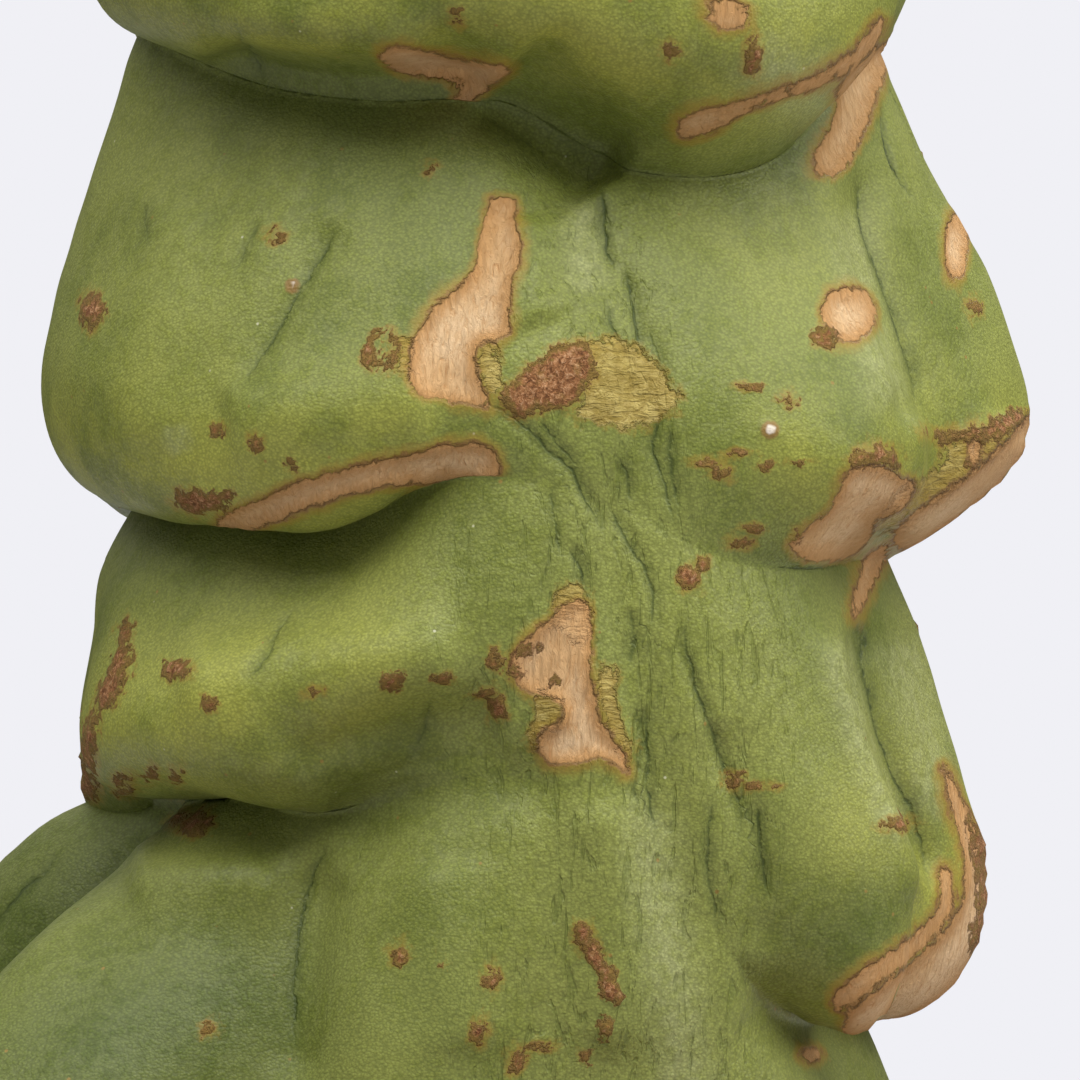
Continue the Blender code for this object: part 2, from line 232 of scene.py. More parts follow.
# Outlines as (across, height) seen from the front. Each scar is (tiers it lies on, outline).
CORK = (
    # tall boot-shaped scar on the left lobe
    ((4,), ((-4.1, 139), (-3.9, 139.3), (-2.3, 139.2), (-2.1, 138.9), (-2.1, 137.5), (-1.6, 135.5),
        (-1.9, 133.3), (-2.4, 132.2), (-2.6, 130.7), (-2.3, 128.9), (-3, 128), (-4.8, 128),
        (-5.2, 126.9), (-5.2, 125.6), (-4.9, 124.3), (-3.6, 122.5), (-5.7, 122.8), (-7.5, 123.3),
        (-9.5, 123.4), (-10.5, 124.8), (-10.3, 127.6), (-8.5, 130.7), (-6.4, 132.2), (-5.1, 133.7),
        (-4.8, 135.3), (-4.4, 137))),
    # long band on the lip below it
    ((4,), ((-26, 113.4), (-24.6, 114.4), (-22.2, 115.4), (-19.2, 116.6), (-15.2, 117.8),
        (-11.2, 118.7), (-8, 119.5), (-5.6, 119.8), (-3.8, 119.4), (-3.3, 118.4), (-3.3, 117.1),
        (-5.6, 116.8), (-8.8, 116.7), (-12, 116.5), (-15.2, 115.8), (-18.4, 114.7), (-21.6, 113.5),
        (-23.6, 112.8), (-25.4, 112.8))),
    # cracked scar beside the valley
    ((3,), ((2.3, 106.9), (3.8, 107.1), (4, 104.9), (3.9, 102.7), (4.1, 100.8), (4.5, 98.6),
        (4.9, 97.2), (6, 95.9), (6.7, 94.2), (7, 93.3), (6.3, 93.9), (4.9, 94.8), (3.9, 94.4),
        (2.3, 94.1), (0.8, 94.2), (0.1, 95), (-0.1, 96.1), (0.3, 96.9), (1.7, 97.3), (2, 98.3),
        (1.6, 99.2), (0.4, 99.7), (-1, 99.8), (-1.9, 100.7), (-2.3, 102.1), (-1.8, 103.1),
        (-0.8, 104.3), (0.3, 105.1), (1.2, 106))),
    # fold scar at the upper left
    ((5,), ((-13, 151), (-11.2, 151.5), (-9.2, 151.2), (-7.2, 150.7), (-4.8, 150.2), (-2, 149.8),
        (-3.6, 148.8), (-4.8, 147.8), (-6, 146.4), (-7.4, 146.6), (-6.4, 147.8), (-5.4, 148.8),
        (-7.6, 149), (-10, 149.2), (-12, 149.9))),
    # ridge scar at the upper right, and its arm
    ((5,), ((27.6, 153.6), (26.6, 151.4), (24.4, 149.4), (21.6, 148.2), (19.2, 147.4),
        (16.6, 146.6), (14, 144.8), (12, 144.3), (11, 144.6), (11.2, 145.6), (12.8, 146.6),
        (15.6, 146.9), (18.4, 147.8), (21.6, 149), (24, 150.2), (25.8, 152), (27, 153.8))),
    ((4, 5), ((23.6, 148.8), (23.8, 146.4), (22.8, 144.4), (21.8, 142.4), (22, 141.2), (23.6, 141),
        (24.8, 142.4), (25.8, 144.8), (26.8, 147.4), (27.6, 149.6), (28.2, 152.6))),
    ((5,), ((12.8, 155), (14.4, 155.2), (17, 154.6), (16.4, 153.2), (14.8, 152.8), (13.4, 153.8))),
    # corky crest of the right lobe, and the spike under it
    ((4,), ((24.7, 117.8), (27.3, 118), (28.7, 117.1), (30, 116.3), (29.1, 114.9), (27.1, 113.9),
        (26.5, 113.4), (26.2, 111.9), (24.3, 110.5), (22.7, 110.3), (20.6, 110.7), (19.9, 111.6),
        (20.3, 112.5), (21.7, 113.2), (23.2, 114.5), (24, 116), (24.3, 116.9))),
    ((3, 4), ((26.2, 111), (27.8, 111.9), (27.4, 110.2), (26.2, 108), (25.6, 106.6), (25, 105.5),
        (24.9, 106.8), (25.4, 108.8), (25.8, 110.2))),
    ((4,), ((39.2, 122.6), (37.4, 120.3), (35.2, 118), (32.4, 116), (29.8, 114.4), (28.2, 112.8),
        (28.6, 111.2), (31, 111), (35, 113.8), (38.4, 117.6), (40.4, 121.6))),
    # torn lip of the lower right lobes
    ((3,), ((32, 94.6), (33.2, 92), (34.8, 88.8), (36.6, 84.8), (36.6, 80), (33.4, 75.6), (29, 72),
        (25.6, 70.8), (24.2, 72.6), (24.6, 74.2), (27.2, 76.3), (29.8, 78.3), (32, 80.2),
        (33.6, 82.6), (34.1, 84.8), (33.6, 88), (32.6, 91.2))),
    ((3,), ((31.8, 86), (32.1, 83.4), (31.1, 81.5), (28.9, 79.7), (26.1, 77.8), (24, 76.3),
        (23.2, 74.6), (24.5, 74.6), (27, 76.7), (29.6, 78.6), (31.8, 80.6), (33.1, 83),
        (32.7, 85.6))),
)

CRUST = (
    # leaf-shaped crust in the valley
    ((4,), ((-3.5, 123.7), (-1.3, 125.2), (0.6, 126.9), (2, 127.8), (3.3, 127.9), (4.4, 126.7),
        (4.3, 125.2), (3.3, 123.4), (2, 122.4), (-0.2, 122.4), (-1.3, 121.7), (-2.6, 122.4))),
    # beside the long band
    ((4,), ((-29.6, 115.6), (-27.2, 116.2), (-24, 115.6), (-25.2, 114.6), (-27.2, 114),
        (-28.8, 114.6))),
    # rim of the right crest
    ((4,), ((30.2, 120.9), (31.8, 120.4), (33.9, 120.9), (35.5, 121.2), (37.2, 122.2),
        (38.4, 122.5), (38.6, 121.6), (37.2, 120.4), (35.8, 119.8), (34, 120), (31.8, 120))),
    ((4,), ((24.4, 117.6), (24.8, 118.8), (26, 119.4), (27.6, 119.5), (28.8, 118.8), (28.9, 117.4),
        (27.6, 118.2), (26, 118.2))),
    # left crest of the second tier
    ((3,), ((-33.3, 105.8), (-32.7, 105.6), (-32.7, 103.6), (-32.9, 101.2), (-33.8, 99.2),
        (-35.2, 98), (-35.5, 99.4), (-34.6, 101.4), (-34, 103.4))),
    ((3,), ((-36, 98.6), (-35.3, 98.4), (-35.6, 95.4), (-35.9, 93.6), (-35.3, 91.6), (-36, 91),
        (-36.8, 93.4), (-36.6, 96.4))),
    ((2, 3), ((-30, 90.2), (-28, 90), (-26.4, 90.4), (-26, 89), (-27.4, 88.2), (-29, 88.8))),
    # outer edge of the torn lip
    ((3,), ((34, 90.6), (35.2, 88.6), (37, 84.8), (37, 80), (35.4, 78.4), (34.2, 79.2), (34.9, 82),
        (35.2, 84.8), (34.4, 87.8))),
    # low on the valley's left shoulder
    ((2, 3), ((3, 81.8), (4, 81.2), (4.8, 78.8), (6.2, 76.8), (6.6, 74.8), (5.2, 75.2),
        (4.6, 77.2), (3.4, 78.8), (2.6, 80.4))),
)

MUSTARD = (
    # wrinkled yellow patch beside the leaf-shaped crust
    ((4,), ((3.3, 127.9), (5.3, 128.1), (7.2, 127.6), (8.8, 126.9), (9.7, 125.4), (11.2, 123.5),
        (10.7, 122.1), (9, 121.3), (7.2, 120.9), (4.6, 121.2), (2.8, 121.7), (3.2, 123.4))),
    ((4,), ((-4.8, 128), (-3.3, 127.6), (-3.5, 125.6), (-2.4, 124.6), (-3.6, 123.4), (-4.7, 124.4),
        (-5.2, 126.5))),
    ((4,), ((-11.8, 128.3), (-10.2, 128.6), (-10.1, 125), (-11.4, 125.1), (-11.9, 126.6))),
    # round the cracked scar
    ((3,), ((1.6, 108.3), (3.6, 108.4), (4.1, 106), (3.6, 103.6), (1, 104.4), (0.8, 106.4))),
    ((3,), ((4.3, 102.1), (6, 101.8), (6.2, 100.1), (6.3, 97.9), (7.6, 96.3), (7.2, 93.9),
        (6.5, 94.8), (5.2, 97), (4.4, 100))),
    ((3,), ((-1, 99.8), (1.9, 99.4), (2.2, 97.2), (0.2, 96.6), (-0.6, 94.6), (-0.9, 96.5),
        (0, 98.2))),
    # flesh round the right crest
    ((4,), ((33.8, 120.6), (35.6, 121), (38.3, 122.6), (39.2, 121.6), (37.4, 119.6), (36, 118.4),
        (33.6, 116), (31.6, 114.8), (29.2, 113.6), (28.2, 113), (26.9, 112.4), (26.4, 112.8),
        (28.8, 116), (30.4, 117), (32, 117.8), (32.8, 120))),
)

# Round marks: (tier, across, height, half width, half height).
CORK_SPOTS = (
    (4, 24.6, 130, 2.1, 2.1), (4, 33.2, 135.4, 0.9, 2.5), (4, 34.6, 119.1, 0.5, 1.1),
    (2, 21.6, 70.8, 0.7, 0.5),
)
CRUST_SPOTS = (
    (3, -0.1, 103.5, 0.5, 0.4), (3, -1.2, 103.2, 0.4, 0.3), (3, 1.1, 100.8, 0.4, 0.35),
    (3, -1.9, 101.4, 0.5, 0.4), (3, -3.4, 98.5, 0.7, 0.9), (3, -4.6, 99.7, 0.9, 0.4),
    (3, 11.9, 109, 0.9, 0.8), (3, 13, 110, 0.4, 0.7), (3, 15.6, 92.8, 0.8, 0.6),
    (3, 17.3, 92.3, 1.2, 0.35), (3, -29.2, 101.6, 1.1, 0.8), (3, -26.6, 98.8, 0.6, 0.5),
    (3, -12, 100.8, 1.1, 0.8), (3, -31, 93.2, 0.4, 0.4), (3, -29, 93.2, 0.4, 0.4),
    (4, -35.8, 130.4, 0.9, 1.3), (4, -21, 136.4, 0.5, 0.4), (4, -8.8, 141.6, 0.4, 0.35),
    (5, 17, 150.8, 0.7, 1.5), (4, 22.8, 128.3, 1.0, 0.8), (4, 34.8, 130.6, 0.4, 0.6),
    (4, 20.7, 112.3, 0.4, 0.4), (4, 34.3, 118.1, 0.35, 0.3), (4, 17, 124.2, 0.9, 0.3),
    (4, 19.7, 123.2, 0.7, 0.5), (4, 20.5, 118.2, 0.6, 0.3), (4, 18, 117.9, 0.5, 0.3),
    (4, 16.2, 119, 0.9, 0.25), (4, 13.2, 118.2, 0.8, 0.3), (4, 14.4, 117.2, 0.7, 0.35),
    (4, 17.2, 113, 0.9, 0.3), (4, 16, 111.8, 0.6, 0.3), (2, 5.2, 72.8, 0.6, 0.9),
    (2, -4, 76.8, 0.7, 0.8), (2, -5, 72.8, 0.6, 0.7), (2, -11.2, 78.8, 0.6, 0.7),
    (2, -26.8, 72.8, 0.7, 0.6), (2, 0, 71.6, 1.1, 0.5), (2, -2, 70.4, 0.6, 0.8),
    (2, 3.6, 70.6, 0.5, 0.8), (3, 28.6, 89.2, 1.2, 0.5), (5, -6.6, 153.9, 0.5, 0.5),
    (5, 10.4, 151, 0.6, 0.5), (3, -36.2, 92.5, 0.5, 1.2), (2, -8, 78, 0.4, 0.4),
    (3, -18, 99.8, 0.5, 0.25), (3, -7.8, 101, 0.6, 0.3),
)
# Ring marks: (tier, across, height, radius, half width).
RINGS = (
    (4, -12.6, 127.1, 1.2, 0.36), (4, -26, 120.6, 0.42, 0.12), (4, -22.6, 119.6, 0.42, 0.12),
    (4, -19.9, 118.1, 0.38, 0.12), (3, -3.5, 102.4, 0.55, 0.2), (3, -33.2, 92.4, 0.6, 0.25),
)
PIMPLES = ((4, 18.4, 120.8, 0.6), (4, -19.8, 132.3, 0.5))

# Scars away from the close view: (name, count, smallest and largest half length, most stretched).
SCATTERED = (
    ("cork", 60, 0.8, 8.0, 3.0),
    ("crust", 240, 0.35, 1.7, 2.0),
    ("mustard", 26, 1.0, 4.0, 2.0),
)

# Wrinkles and thin cracks in the skin: (depth, half width, points), seen from the front.
WRINKLES = (
    (0.55, 0.50, ((4.4, 140.5), (4.6, 138.8), (5, 136.8), (5.5, 134.6), (6.2, 133.2))),
    (0.40, 0.40, ((6.8, 134), (7.3, 132), (7.7, 130.3), (8.1, 127.6), (8.6, 125.6))),
    (0.35, 0.40, ((5.1, 131.6), (5.5, 128.9), (6.4, 127.6), (7.2, 126.2), (7.3, 123.4),
        (7.2, 121.6))),
    (0.25, 0.40, ((8.8, 129.3), (9.4, 127), (9.9, 124.8), (10.2, 123.2))),
    (0.45, 0.45, ((9, 124.5), (9.1, 122), (8.8, 119.7), (9.9, 117.1), (10.9, 114.4),
        (11.5, 112.8))),
    (0.35, 0.40, ((10.1, 121.2), (10.6, 117.5), (11.6, 114.4))),
    (0.50, 0.45, ((-4.8, 123.8), (-3.7, 122.5), (-0.9, 120.6), (0.2, 119.4), (2.6, 117.5),
        (4.4, 114.6), (5.8, 112))),
    (0.35, 0.40, ((-0.2, 121.5), (1.7, 119.4), (3.4, 117.6))),
    (0.35, 0.40, ((6.2, 118.6), (7, 116.6), (7.4, 115))),
    (0.30, 0.40, ((0.9, 116.6), (1, 114.4), (1.3, 112), (2, 110.4))),
    (0.50, 0.45, ((2, 112), (3.2, 110.4), (3.9, 107.8), (4.2, 104), (4.1, 101.5))),
    (0.35, 0.40, ((5.4, 115.4), (6.4, 113.6), (8.2, 110.4), (9.1, 107.7), (9, 104))),
    (0.60, 0.50, ((11.4, 107), (11.3, 103), (12.4, 100.5), (13.8, 96.8), (15, 93.1), (15.9, 90.2),
        (16.4, 87.2))),
    (0.40, 0.40, ((8.5, 99), (8.4, 96), (8.6, 93), (9, 90.4), (9.8, 88.2))),
    (0.35, 0.40, ((13.9, 91.8), (13.4, 89), (13.5, 86.6), (13.9, 82.9), (14.2, 80))),
    (0.40, 0.45, ((17.2, 91.4), (17.4, 90.2), (17.7, 86.6), (17.9, 82.9))),
    (0.25, 0.35, ((7.6, 99.4), (7.9, 96), (7.4, 92), (8, 89.6))),
    (0.30, 0.35, ((7.2, 106.8), (7.6, 104), (7.1, 101.6))),
    (0.35, 0.50, ((-16, 138), (-17.6, 135), (-19.6, 131.6), (-22, 127.4), (-24.8, 123.6))),
    (0.25, 0.45, ((-31.7, 139.2), (-32, 137.4), (-31.8, 135.6))),
    (0.25, 0.50, ((-22.6, 137.8), (-23.8, 135.4), (-24.6, 133.4))),
    (0.25, 0.45, ((-24.4, 153.4), (-23, 150.6), (-22, 148.4))),
    (0.25, 0.45, ((-8.4, 99.4), (-9.8, 96.6), (-11, 94))),
    (0.25, 0.45, ((-19.6, 106.6), (-21, 104.4), (-24, 100.4))),
    (0.40, 0.50, ((-16.6, 88.4), (-18.4, 85), (-19.2, 81), (-19.8, 77), (-20, 70))),
    # grooves with painted shadow lines where the right lobes overlap those behind them
    (0.50, 0.55, ((25.4, 142.6), (26.2, 136.6), (27.4, 133.2), (28.8, 129.6), (30, 124.8),
        (30, 120.6))),
    (0.80, 0.60, ((26, 108.6), (25.4, 106), (25.9, 102), (27.4, 97), (29, 92.4), (30.8, 87),
        (31.6, 83))),
    (0.20, 0.35, ((1.6, 98.9), (3, 99.15), (4.4, 98.6))),
)

# Sculpted strokes seen from the front: (height out of the surface, half width, tiers or none for
# all, points).
STROKES = (
    (-1.2, 1.6, None, ((25.4, 142.6), (26.2, 136.6), (27.4, 133.2), (28.8, 129.6), (30, 124.8),
        (30, 119.8))),
    (1.1, 1.6, (3,), ((23.4, 106), (23.8, 100), (25.4, 95.6), (27.8, 91), (29.6, 86.6),
        (29.8, 82.4))),
    (-1.7, 1.3, None, ((25.4, 106.4), (25.9, 102), (27.4, 97), (29, 92.4), (30.8, 87),
        (31.8, 83.4))),
    (-0.8, 2.4, None, ((4.4, 141), (5, 136), (7, 131), (8.4, 126), (8.6, 120), (6.4, 113),
        (6.4, 106), (8.4, 98), (10.4, 90), (11.4, 82), (12, 72))),
    (0.8, 2.6, None, ((-2, 138), (-1, 132), (0.4, 129))),
    (-0.5, 2.4, None, ((-16, 138), (-19.6, 131.6), (-24.8, 123.6))),
    (0.6, 3.0, None, ((-28, 140), (-31, 132), (-33, 124), (-31, 118))),
    (1.0, 2.2, None, ((37.6, 122), (34.6, 118.6), (31, 115.4), (27.6, 112.6))),
    (-1.0, 2.2, (2,), ((-17.2, 86.4), (-18.6, 82), (-19.4, 76), (-20, 68))),
    (0.7, 4.0, None, ((-8, 87), (-7, 80), (-6, 70))),
    (-0.7, 2.2, None, ((14, 98), (16, 92), (17.4, 86), (17.8, 78))),
    (0.8, 2.4, None, ((4.4, 92), (5.6, 86), (5.8, 78), (5.4, 70))),
    # folds deepened under the lips, and the swell above them
    (-0.9, 2.6, None, ((-17, 88), (-11.2, 90.6), (-4.8, 92.2), (2, 93))),
    (1.5, 3.4, (3,), ((-30, 99.6), (-20, 101), (-12, 102.2), (-5, 103))),
    (-1.8, 3.4, (3,), ((-22, 94), (-14, 95.4), (-8, 96.4), (-2, 97))),
    (1.8, 2.6, (2,), ((-33, 84), (-28, 84.6), (-23, 84.4), (-19.5, 83.4))),
    (-2.0, 4.2, None, ((-3, 150), (0, 147), (3, 144), (6, 140.4))),
    (-1.8, 3.0, (5,), ((-28, 149.6), (-18, 148), (-10, 147.6), (-3, 147.8))),
    (1.2, 2.6, (5,), ((-26, 154.4), (-16, 152.4), (-8, 151.8))),
    (1.2, 4.0, (4,), ((-26, 121), (-16, 122.4), (-8, 123.6))),
    (-0.5, 3.4, None, ((16, 74), (20, 72.4), (25, 71))),
)

# Swells and hollows on the sides: (degrees, height, height out of the surface, half turn, half
# height).
SWELLS = (
    (-108, 84, 5.5, 15, 9), (-82, 82, -4.0, 8, 14), (-64, 74, 2.0, 10, 10),
    (-86, 109, 1.7, 26, 5.5),
)

# Painted shade, partly the skin's own deeper green: patches on lobes that face down or away from
# the lights or lie in the shadow of lobes above: (degrees, height, share, half turn, half height).
PAINTED_SHADE_PATCHES = (
    (-42, 74, 1.0, 24, 11), (-90, 77, 1.0, 32, 18), (46, 82, 0.85, 11, 6), (-22, 93, 0.6, 16, 5),
    (-38, 157, 0.35, 36, 8),
)

# Pale waxy bloom, and on the right back lobe a painted highlight: (half width, points), seen from
# the front.
BLOOM_AND_SHEEN = (
    (1.6, ((23.8, 106), (24.2, 101), (25.6, 96), (27.6, 91), (29.4, 86))),
    (2.2, ((24, 140), (25.6, 133), (27, 127), (28.4, 121))),
    (1.8, ((3.4, 140), (3.6, 135), (3.8, 131))),
    (2.6, ((8, 94), (9.4, 84), (11, 74), (12.4, 62))),
    (3.0, ((16, 152), (20, 148.6), (25, 148))),
    (1.2, ((-29.4, 121.4), (-28.6, 118.6))),
    # painted highlight: a pale sheen on the right back lobe
    (2.4, ((28.4, 106), (29.4, 101), (31, 95), (32.4, 88))),
)


def front_view(place):
    """Where places appear from the front, as (across, height) on the plane of the axis."""
    nearer = EYE_DISTANCE / (EYE_DISTANCE + place[..., 1])
    height = EYE_HEIGHT + (place[..., 2] - EYE_HEIGHT) * nearer
    return np.stack([place[..., 0] * nearer, height], axis=-1)


def soften(outline):
    """Cuts an outline's corners once, so that it has no sharp ones."""
    points = np.array(outline, float)
    after = np.roll(points, -1, axis=0)
    cuts = [points * 0.75 + after * 0.25, points * 0.25 + after * 0.75]
    return np.stack(cuts, axis=1).reshape(-1, 2)


def outline_distance(seen, outline):
    """Signed distance to a closed outline, negative inside it."""
    points = soften(soften(outline))
    best = np.full(seen.shape[:-1], 1e9)
    inside = np.zeros(seen.shape[:-1], bool)
    for a, b in zip(points, np.roll(points, -1, axis=0)):
        edge = b - a
        reach = seen - a
        t = np.clip(reach @ edge / (edge @ edge), 0, 1)
        best = np.minimum(best, np.linalg.norm(reach - t[..., None] * edge, axis=-1))
        crosses = (a[1] > seen[..., 1]) != (b[1] > seen[..., 1])
        if a[1] != b[1]:
            crossing = a[0] + edge[0] * (seen[..., 1] - a[1]) / edge[1]
            inside ^= crosses & (seen[..., 0] < crossing)
    return np.where(inside, -best, best)


def line_distance(seen, points):
    """Signed sideways distance to an open line, and the share of the way along it."""
    points = np.array(points, float)
    lengths = np.linalg.norm(np.diff(points, axis=0), axis=1)
    starts = np.concatenate([[0], np.cumsum(lengths)])
    best = np.full(seen.shape[:-1], 1e9)
    side = np.ones(seen.shape[:-1])
    share = np.zeros(seen.shape[:-1])
    for a, b, start, length in zip(points[:-1], points[1:], starts, lengths):
        edge = (b - a) / length
        reach = seen - a
        t = np.clip(reach @ edge, 0, length)
        gap = np.linalg.norm(reach - t[..., None] * edge, axis=-1)
        nearer = gap < best
        best = np.where(nearer, gap, best)
        turn = reach[..., 0] * edge[1] - reach[..., 1] * edge[0]
        side = np.where(nearer, np.sign(turn), side)
        share = np.where(nearer, (start + t) / starts[-1], share)
    return best * side, share


def spot_distance(seen, spot):
    """Signed distance, near enough, to a small oval mark."""
    _, across, height, half_width, half_height = spot
    x = (seen[..., 0] - across) / half_width
    z = (seen[..., 1] - height) / half_height
    return (np.hypot(x, z) - 1) * (half_width + half_height) / 2


def smooth_step(low, high, value):
    t = np.clip((value - low) / (high - low), 0, 1)
    return t * t * (3 - 2 * t)


def taper(along, grown, fading):
    """1 along the middle of a line, and down to 0 at both of its ends."""
    return smooth_step(0, grown, along) * (1 - smooth_step(fading, 1, along))


class StemSurface:
    """The stem as rows x columns of places, and the marks on its skin as fields."""

    def __init__(self):
        self.rows = stem_rows()
        turn = np.arange(STEM_COLUMNS + 1) / STEM_COLUMNS - 0.5
        self.degrees = 360 * turn - COLUMN_CROWDING * np.sin(2 * math.pi * turn)
        self.place = bare_stem(self.rows, self.degrees)
        self.tier = np.array([-1 if tier is None else tier for tier, _ in self.rows])
        self.share = np.array([0.0 if tier is None else u for tier, u in self.rows])
        self.look()
        shape = self.place.shape[:2]
        names = ("cork", "crust", "mustard", "pimple")
        self.marks = {name: np.full(shape, MARK_REACH) for name in names}
        for group in range(WRINKLE_GROUPS):
            self.marks[f"wrinkle_{group}"] = np.full(shape, MARK_REACH)
            self.marks[f"wrinkle_{group}_depth"] = np.zeros(shape)
        self.marks["bloom"] = np.zeros(shape)

    def look(self):
        """Reads the normals and the front view off the places."""
        self.normal = surface_normals(self.place)
        self.seen = front_view(self.place)
        eye = np.array((0.0, -EYE_DISTANCE, EYE_HEIGHT)) - self.place
        eye /= np.linalg.norm(eye, axis=2, keepdims=True)
        self.facing = smooth_step(-0.12, 0.05, (self.normal * eye).sum(axis=2))

    def raise_by(self, lift):
        self.place = self.place + self.normal * lift[..., None]
        self.place[:, -1] = self.place[:, 0]

    def crease_gap(self):
        """The distance along the skin, up or down a column, to the nearest crease."""
        steps = np.linalg.norm(np.diff(self.place, axis=0), axis=2)
        up = np.concatenate([np.zeros((1, steps.shape[1])), np.cumsum(steps, axis=0)])
        gap = np.full(up.shape, 100.0)
        for tier in range(1, len(TIERS)):
            first = np.argmax(self.tier == tier)
            gap = np.minimum(gap, np.abs(up - up[first]))
        return gap

    def off_crease(self):
        """Fades a one-tier stroke out at the tier's creases, so that no step is left there."""
        return smooth_step(0, 1.5, self.crease_gap())

    def near(self, points, tiers=None):
        """The vertices that face the front on these tiers and appear near these points."""
        low = np.min(points, axis=0) - MARK_REACH
        high = np.max(points, axis=0) + MARK_REACH
        found = (self.facing > 0) & (self.seen > low).all(axis=2) & (self.seen < high).all(axis=2)
        if tiers is not None:
            found &= np.isin(self.tier, tiers)[:, None]
        return found

    def patch(self, degrees, height, half_turn, half_height):
        """A soft patch at this angle and height, 1 in its middle."""
        turn = (self.degrees - degrees) / half_turn
        rise = (self.place[..., 2] - height) / half_height
        return np.exp(-(turn**2) - rise**2)

    def write_mark(self, name, found, away):
        """Keeps the nearer of the distances to a mark's edge."""
        self.marks[name][found] = np.minimum(self.marks[name][found], away)

    def mark_outline(self, name, tiers, outline):
        found = self.near(outline, tiers)
        away = outline_distance(self.seen[found], outline) + (1 - self.facing[found]) * 2
        self.write_mark(name, found, away)

    def mark_spot(self, name, spot):
        found = self.near([spot[1:3]], (spot[0],))
        away = spot_distance(self.seen[found], spot) + (1 - self.facing[found]) * 2
        self.write_mark(name, found, away)

    def mark_wrinkle(self, group, found, offset, depth):
        """Writes a wrinkle into its group where it is nearer than the ones already there."""
        line = self.marks[f"wrinkle_{group}"]
        deep = self.marks[f"wrinkle_{group}_depth"]
        fade = depth * (1 - smooth_step(0.7, 1.1, np.abs(offset)))
        closer = np.abs(offset) < np.abs(line[found])
        line[found] = np.where(closer, offset, line[found])
        deep[found] = np.where(closer, fade, deep[found])

    def sculpt_strokes(self):
        """Broad folds and swellings that one tier's curve can't hold."""
        lift = np.zeros(self.facing.shape)
        for height, width, tiers, points in STROKES:
            offset, along = line_distance(self.seen, points)
            ends = taper(along, 0.15, 0.85)
            stroke = height * np.exp(-((offset / width) ** 2)) * ends * self.facing
            if tiers is not None:
                stroke *= np.isin(self.tier, tiers)[:, None] * self.off_crease()
            lift += stroke
        for degrees, height, out, half_turn, half_height in SWELLS:
            lift += out * self.patch(degrees, height, half_turn, half_height)
        self.raise_by(lift)
        self.look()

    def sculpt_lumps(self):
        """Soft unevenness all over, so that no surface is a perfect curve."""
        lift = np.zeros(self.facing.shape)
        above = smooth_step(-2, 6, self.place[..., 2])
        for row in range(lift.shape[0]):
            for column in range(lift.shape[1]):
                at = Vector(self.place[row, column])
                broad = noise.noise(at / BROAD_LUMPS[0] + Vector((3, 7, 1)))
                small = noise.noise(at / SMALL_LUMPS[0])
                lift[row, column] = BROAD_LUMPS[1] * broad + SMALL_LUMPS[1] * small
        self.raise_by(lift * above)
        self.look()

    def sculpt_wrinkles(self):
        lift = np.zeros(self.facing.shape)
        for number, (depth, width, points) in enumerate(WRINKLES):
            found = self.near(points)
            offset, along = line_distance(self.seen[found], points)
            ends = taper(along, 0.2, 0.75) * self.facing[found]
            self.mark_wrinkle(number % WRINKLE_GROUPS, found, offset, ends * min(1, depth / 0.4))
            groove = np.exp(-((np.abs(offset) / width) ** 1.5))
            lift[found] -= WRINKLE_DEPTH * depth * groove * ends
        for number, (column, first, last, wander, depth) in enumerate(stray_wrinkles(self)):
            rows = np.arange(first, last)
            along = (rows - first) / (last - first)
            middle = self.degrees[column] + wander * np.sin(along * 5 + number)
            reach = np.hypot(self.place[first:last, :, 0], self.place[first:last, :, 1])
            offset = np.radians(self.degrees[None, :] - middle[:, None]) * reach
            ends = taper(along, 0.3, 0.7)
            block = np.zeros(self.facing.shape, bool)
            block[first:last] = np.abs(offset) < 2
            near = offset[block[first:last]]
            fade = np.broadcast_to(ends[:, None], offset.shape)[block[first:last]]
            self.mark_wrinkle(number % WRINKLE_GROUPS, block, near, fade * depth / 0.4)
            lift[block] -= depth * np.exp(-((np.abs(near) / STRAY_HALF_WIDTH) ** 1.5)) * fade
        self.raise_by(lift)
        self.look()

    def mark_scars(self):
        for name, outlines in (("cork", CORK), ("crust", CRUST), ("mustard", MUSTARD)):
            for tiers, outline in outlines:
                self.mark_outline(name, tiers, outline)
        for name, spots in (("cork", CORK_SPOTS), ("crust", CRUST_SPOTS)):
            for spot in spots:
                self.mark_spot(name, spot)
        for tier, across, height, radius, width in RINGS:
            found = self.near([(across, height)], (tier,))
            gap = self.seen[found] - (across, height)
            away = np.abs(np.linalg.norm(gap, axis=1) - radius) - width
            self.write_mark("crust", found, away)
        for tier, across, height, size in PIMPLES:
            self.mark_spot("pimple", (tier, across, height, size, size))
        for width, points in BLOOM_AND_SHEEN:
            found = self.near(points)
            offset, along = line_distance(self.seen[found], points)
            ends = taper(along, 0.2, 0.8)
            pale = 0.8 * np.exp(-((offset / width) ** 2)) * ends * self.facing[found]
            self.marks["bloom"][found] = np.maximum(self.marks["bloom"][found], pale)

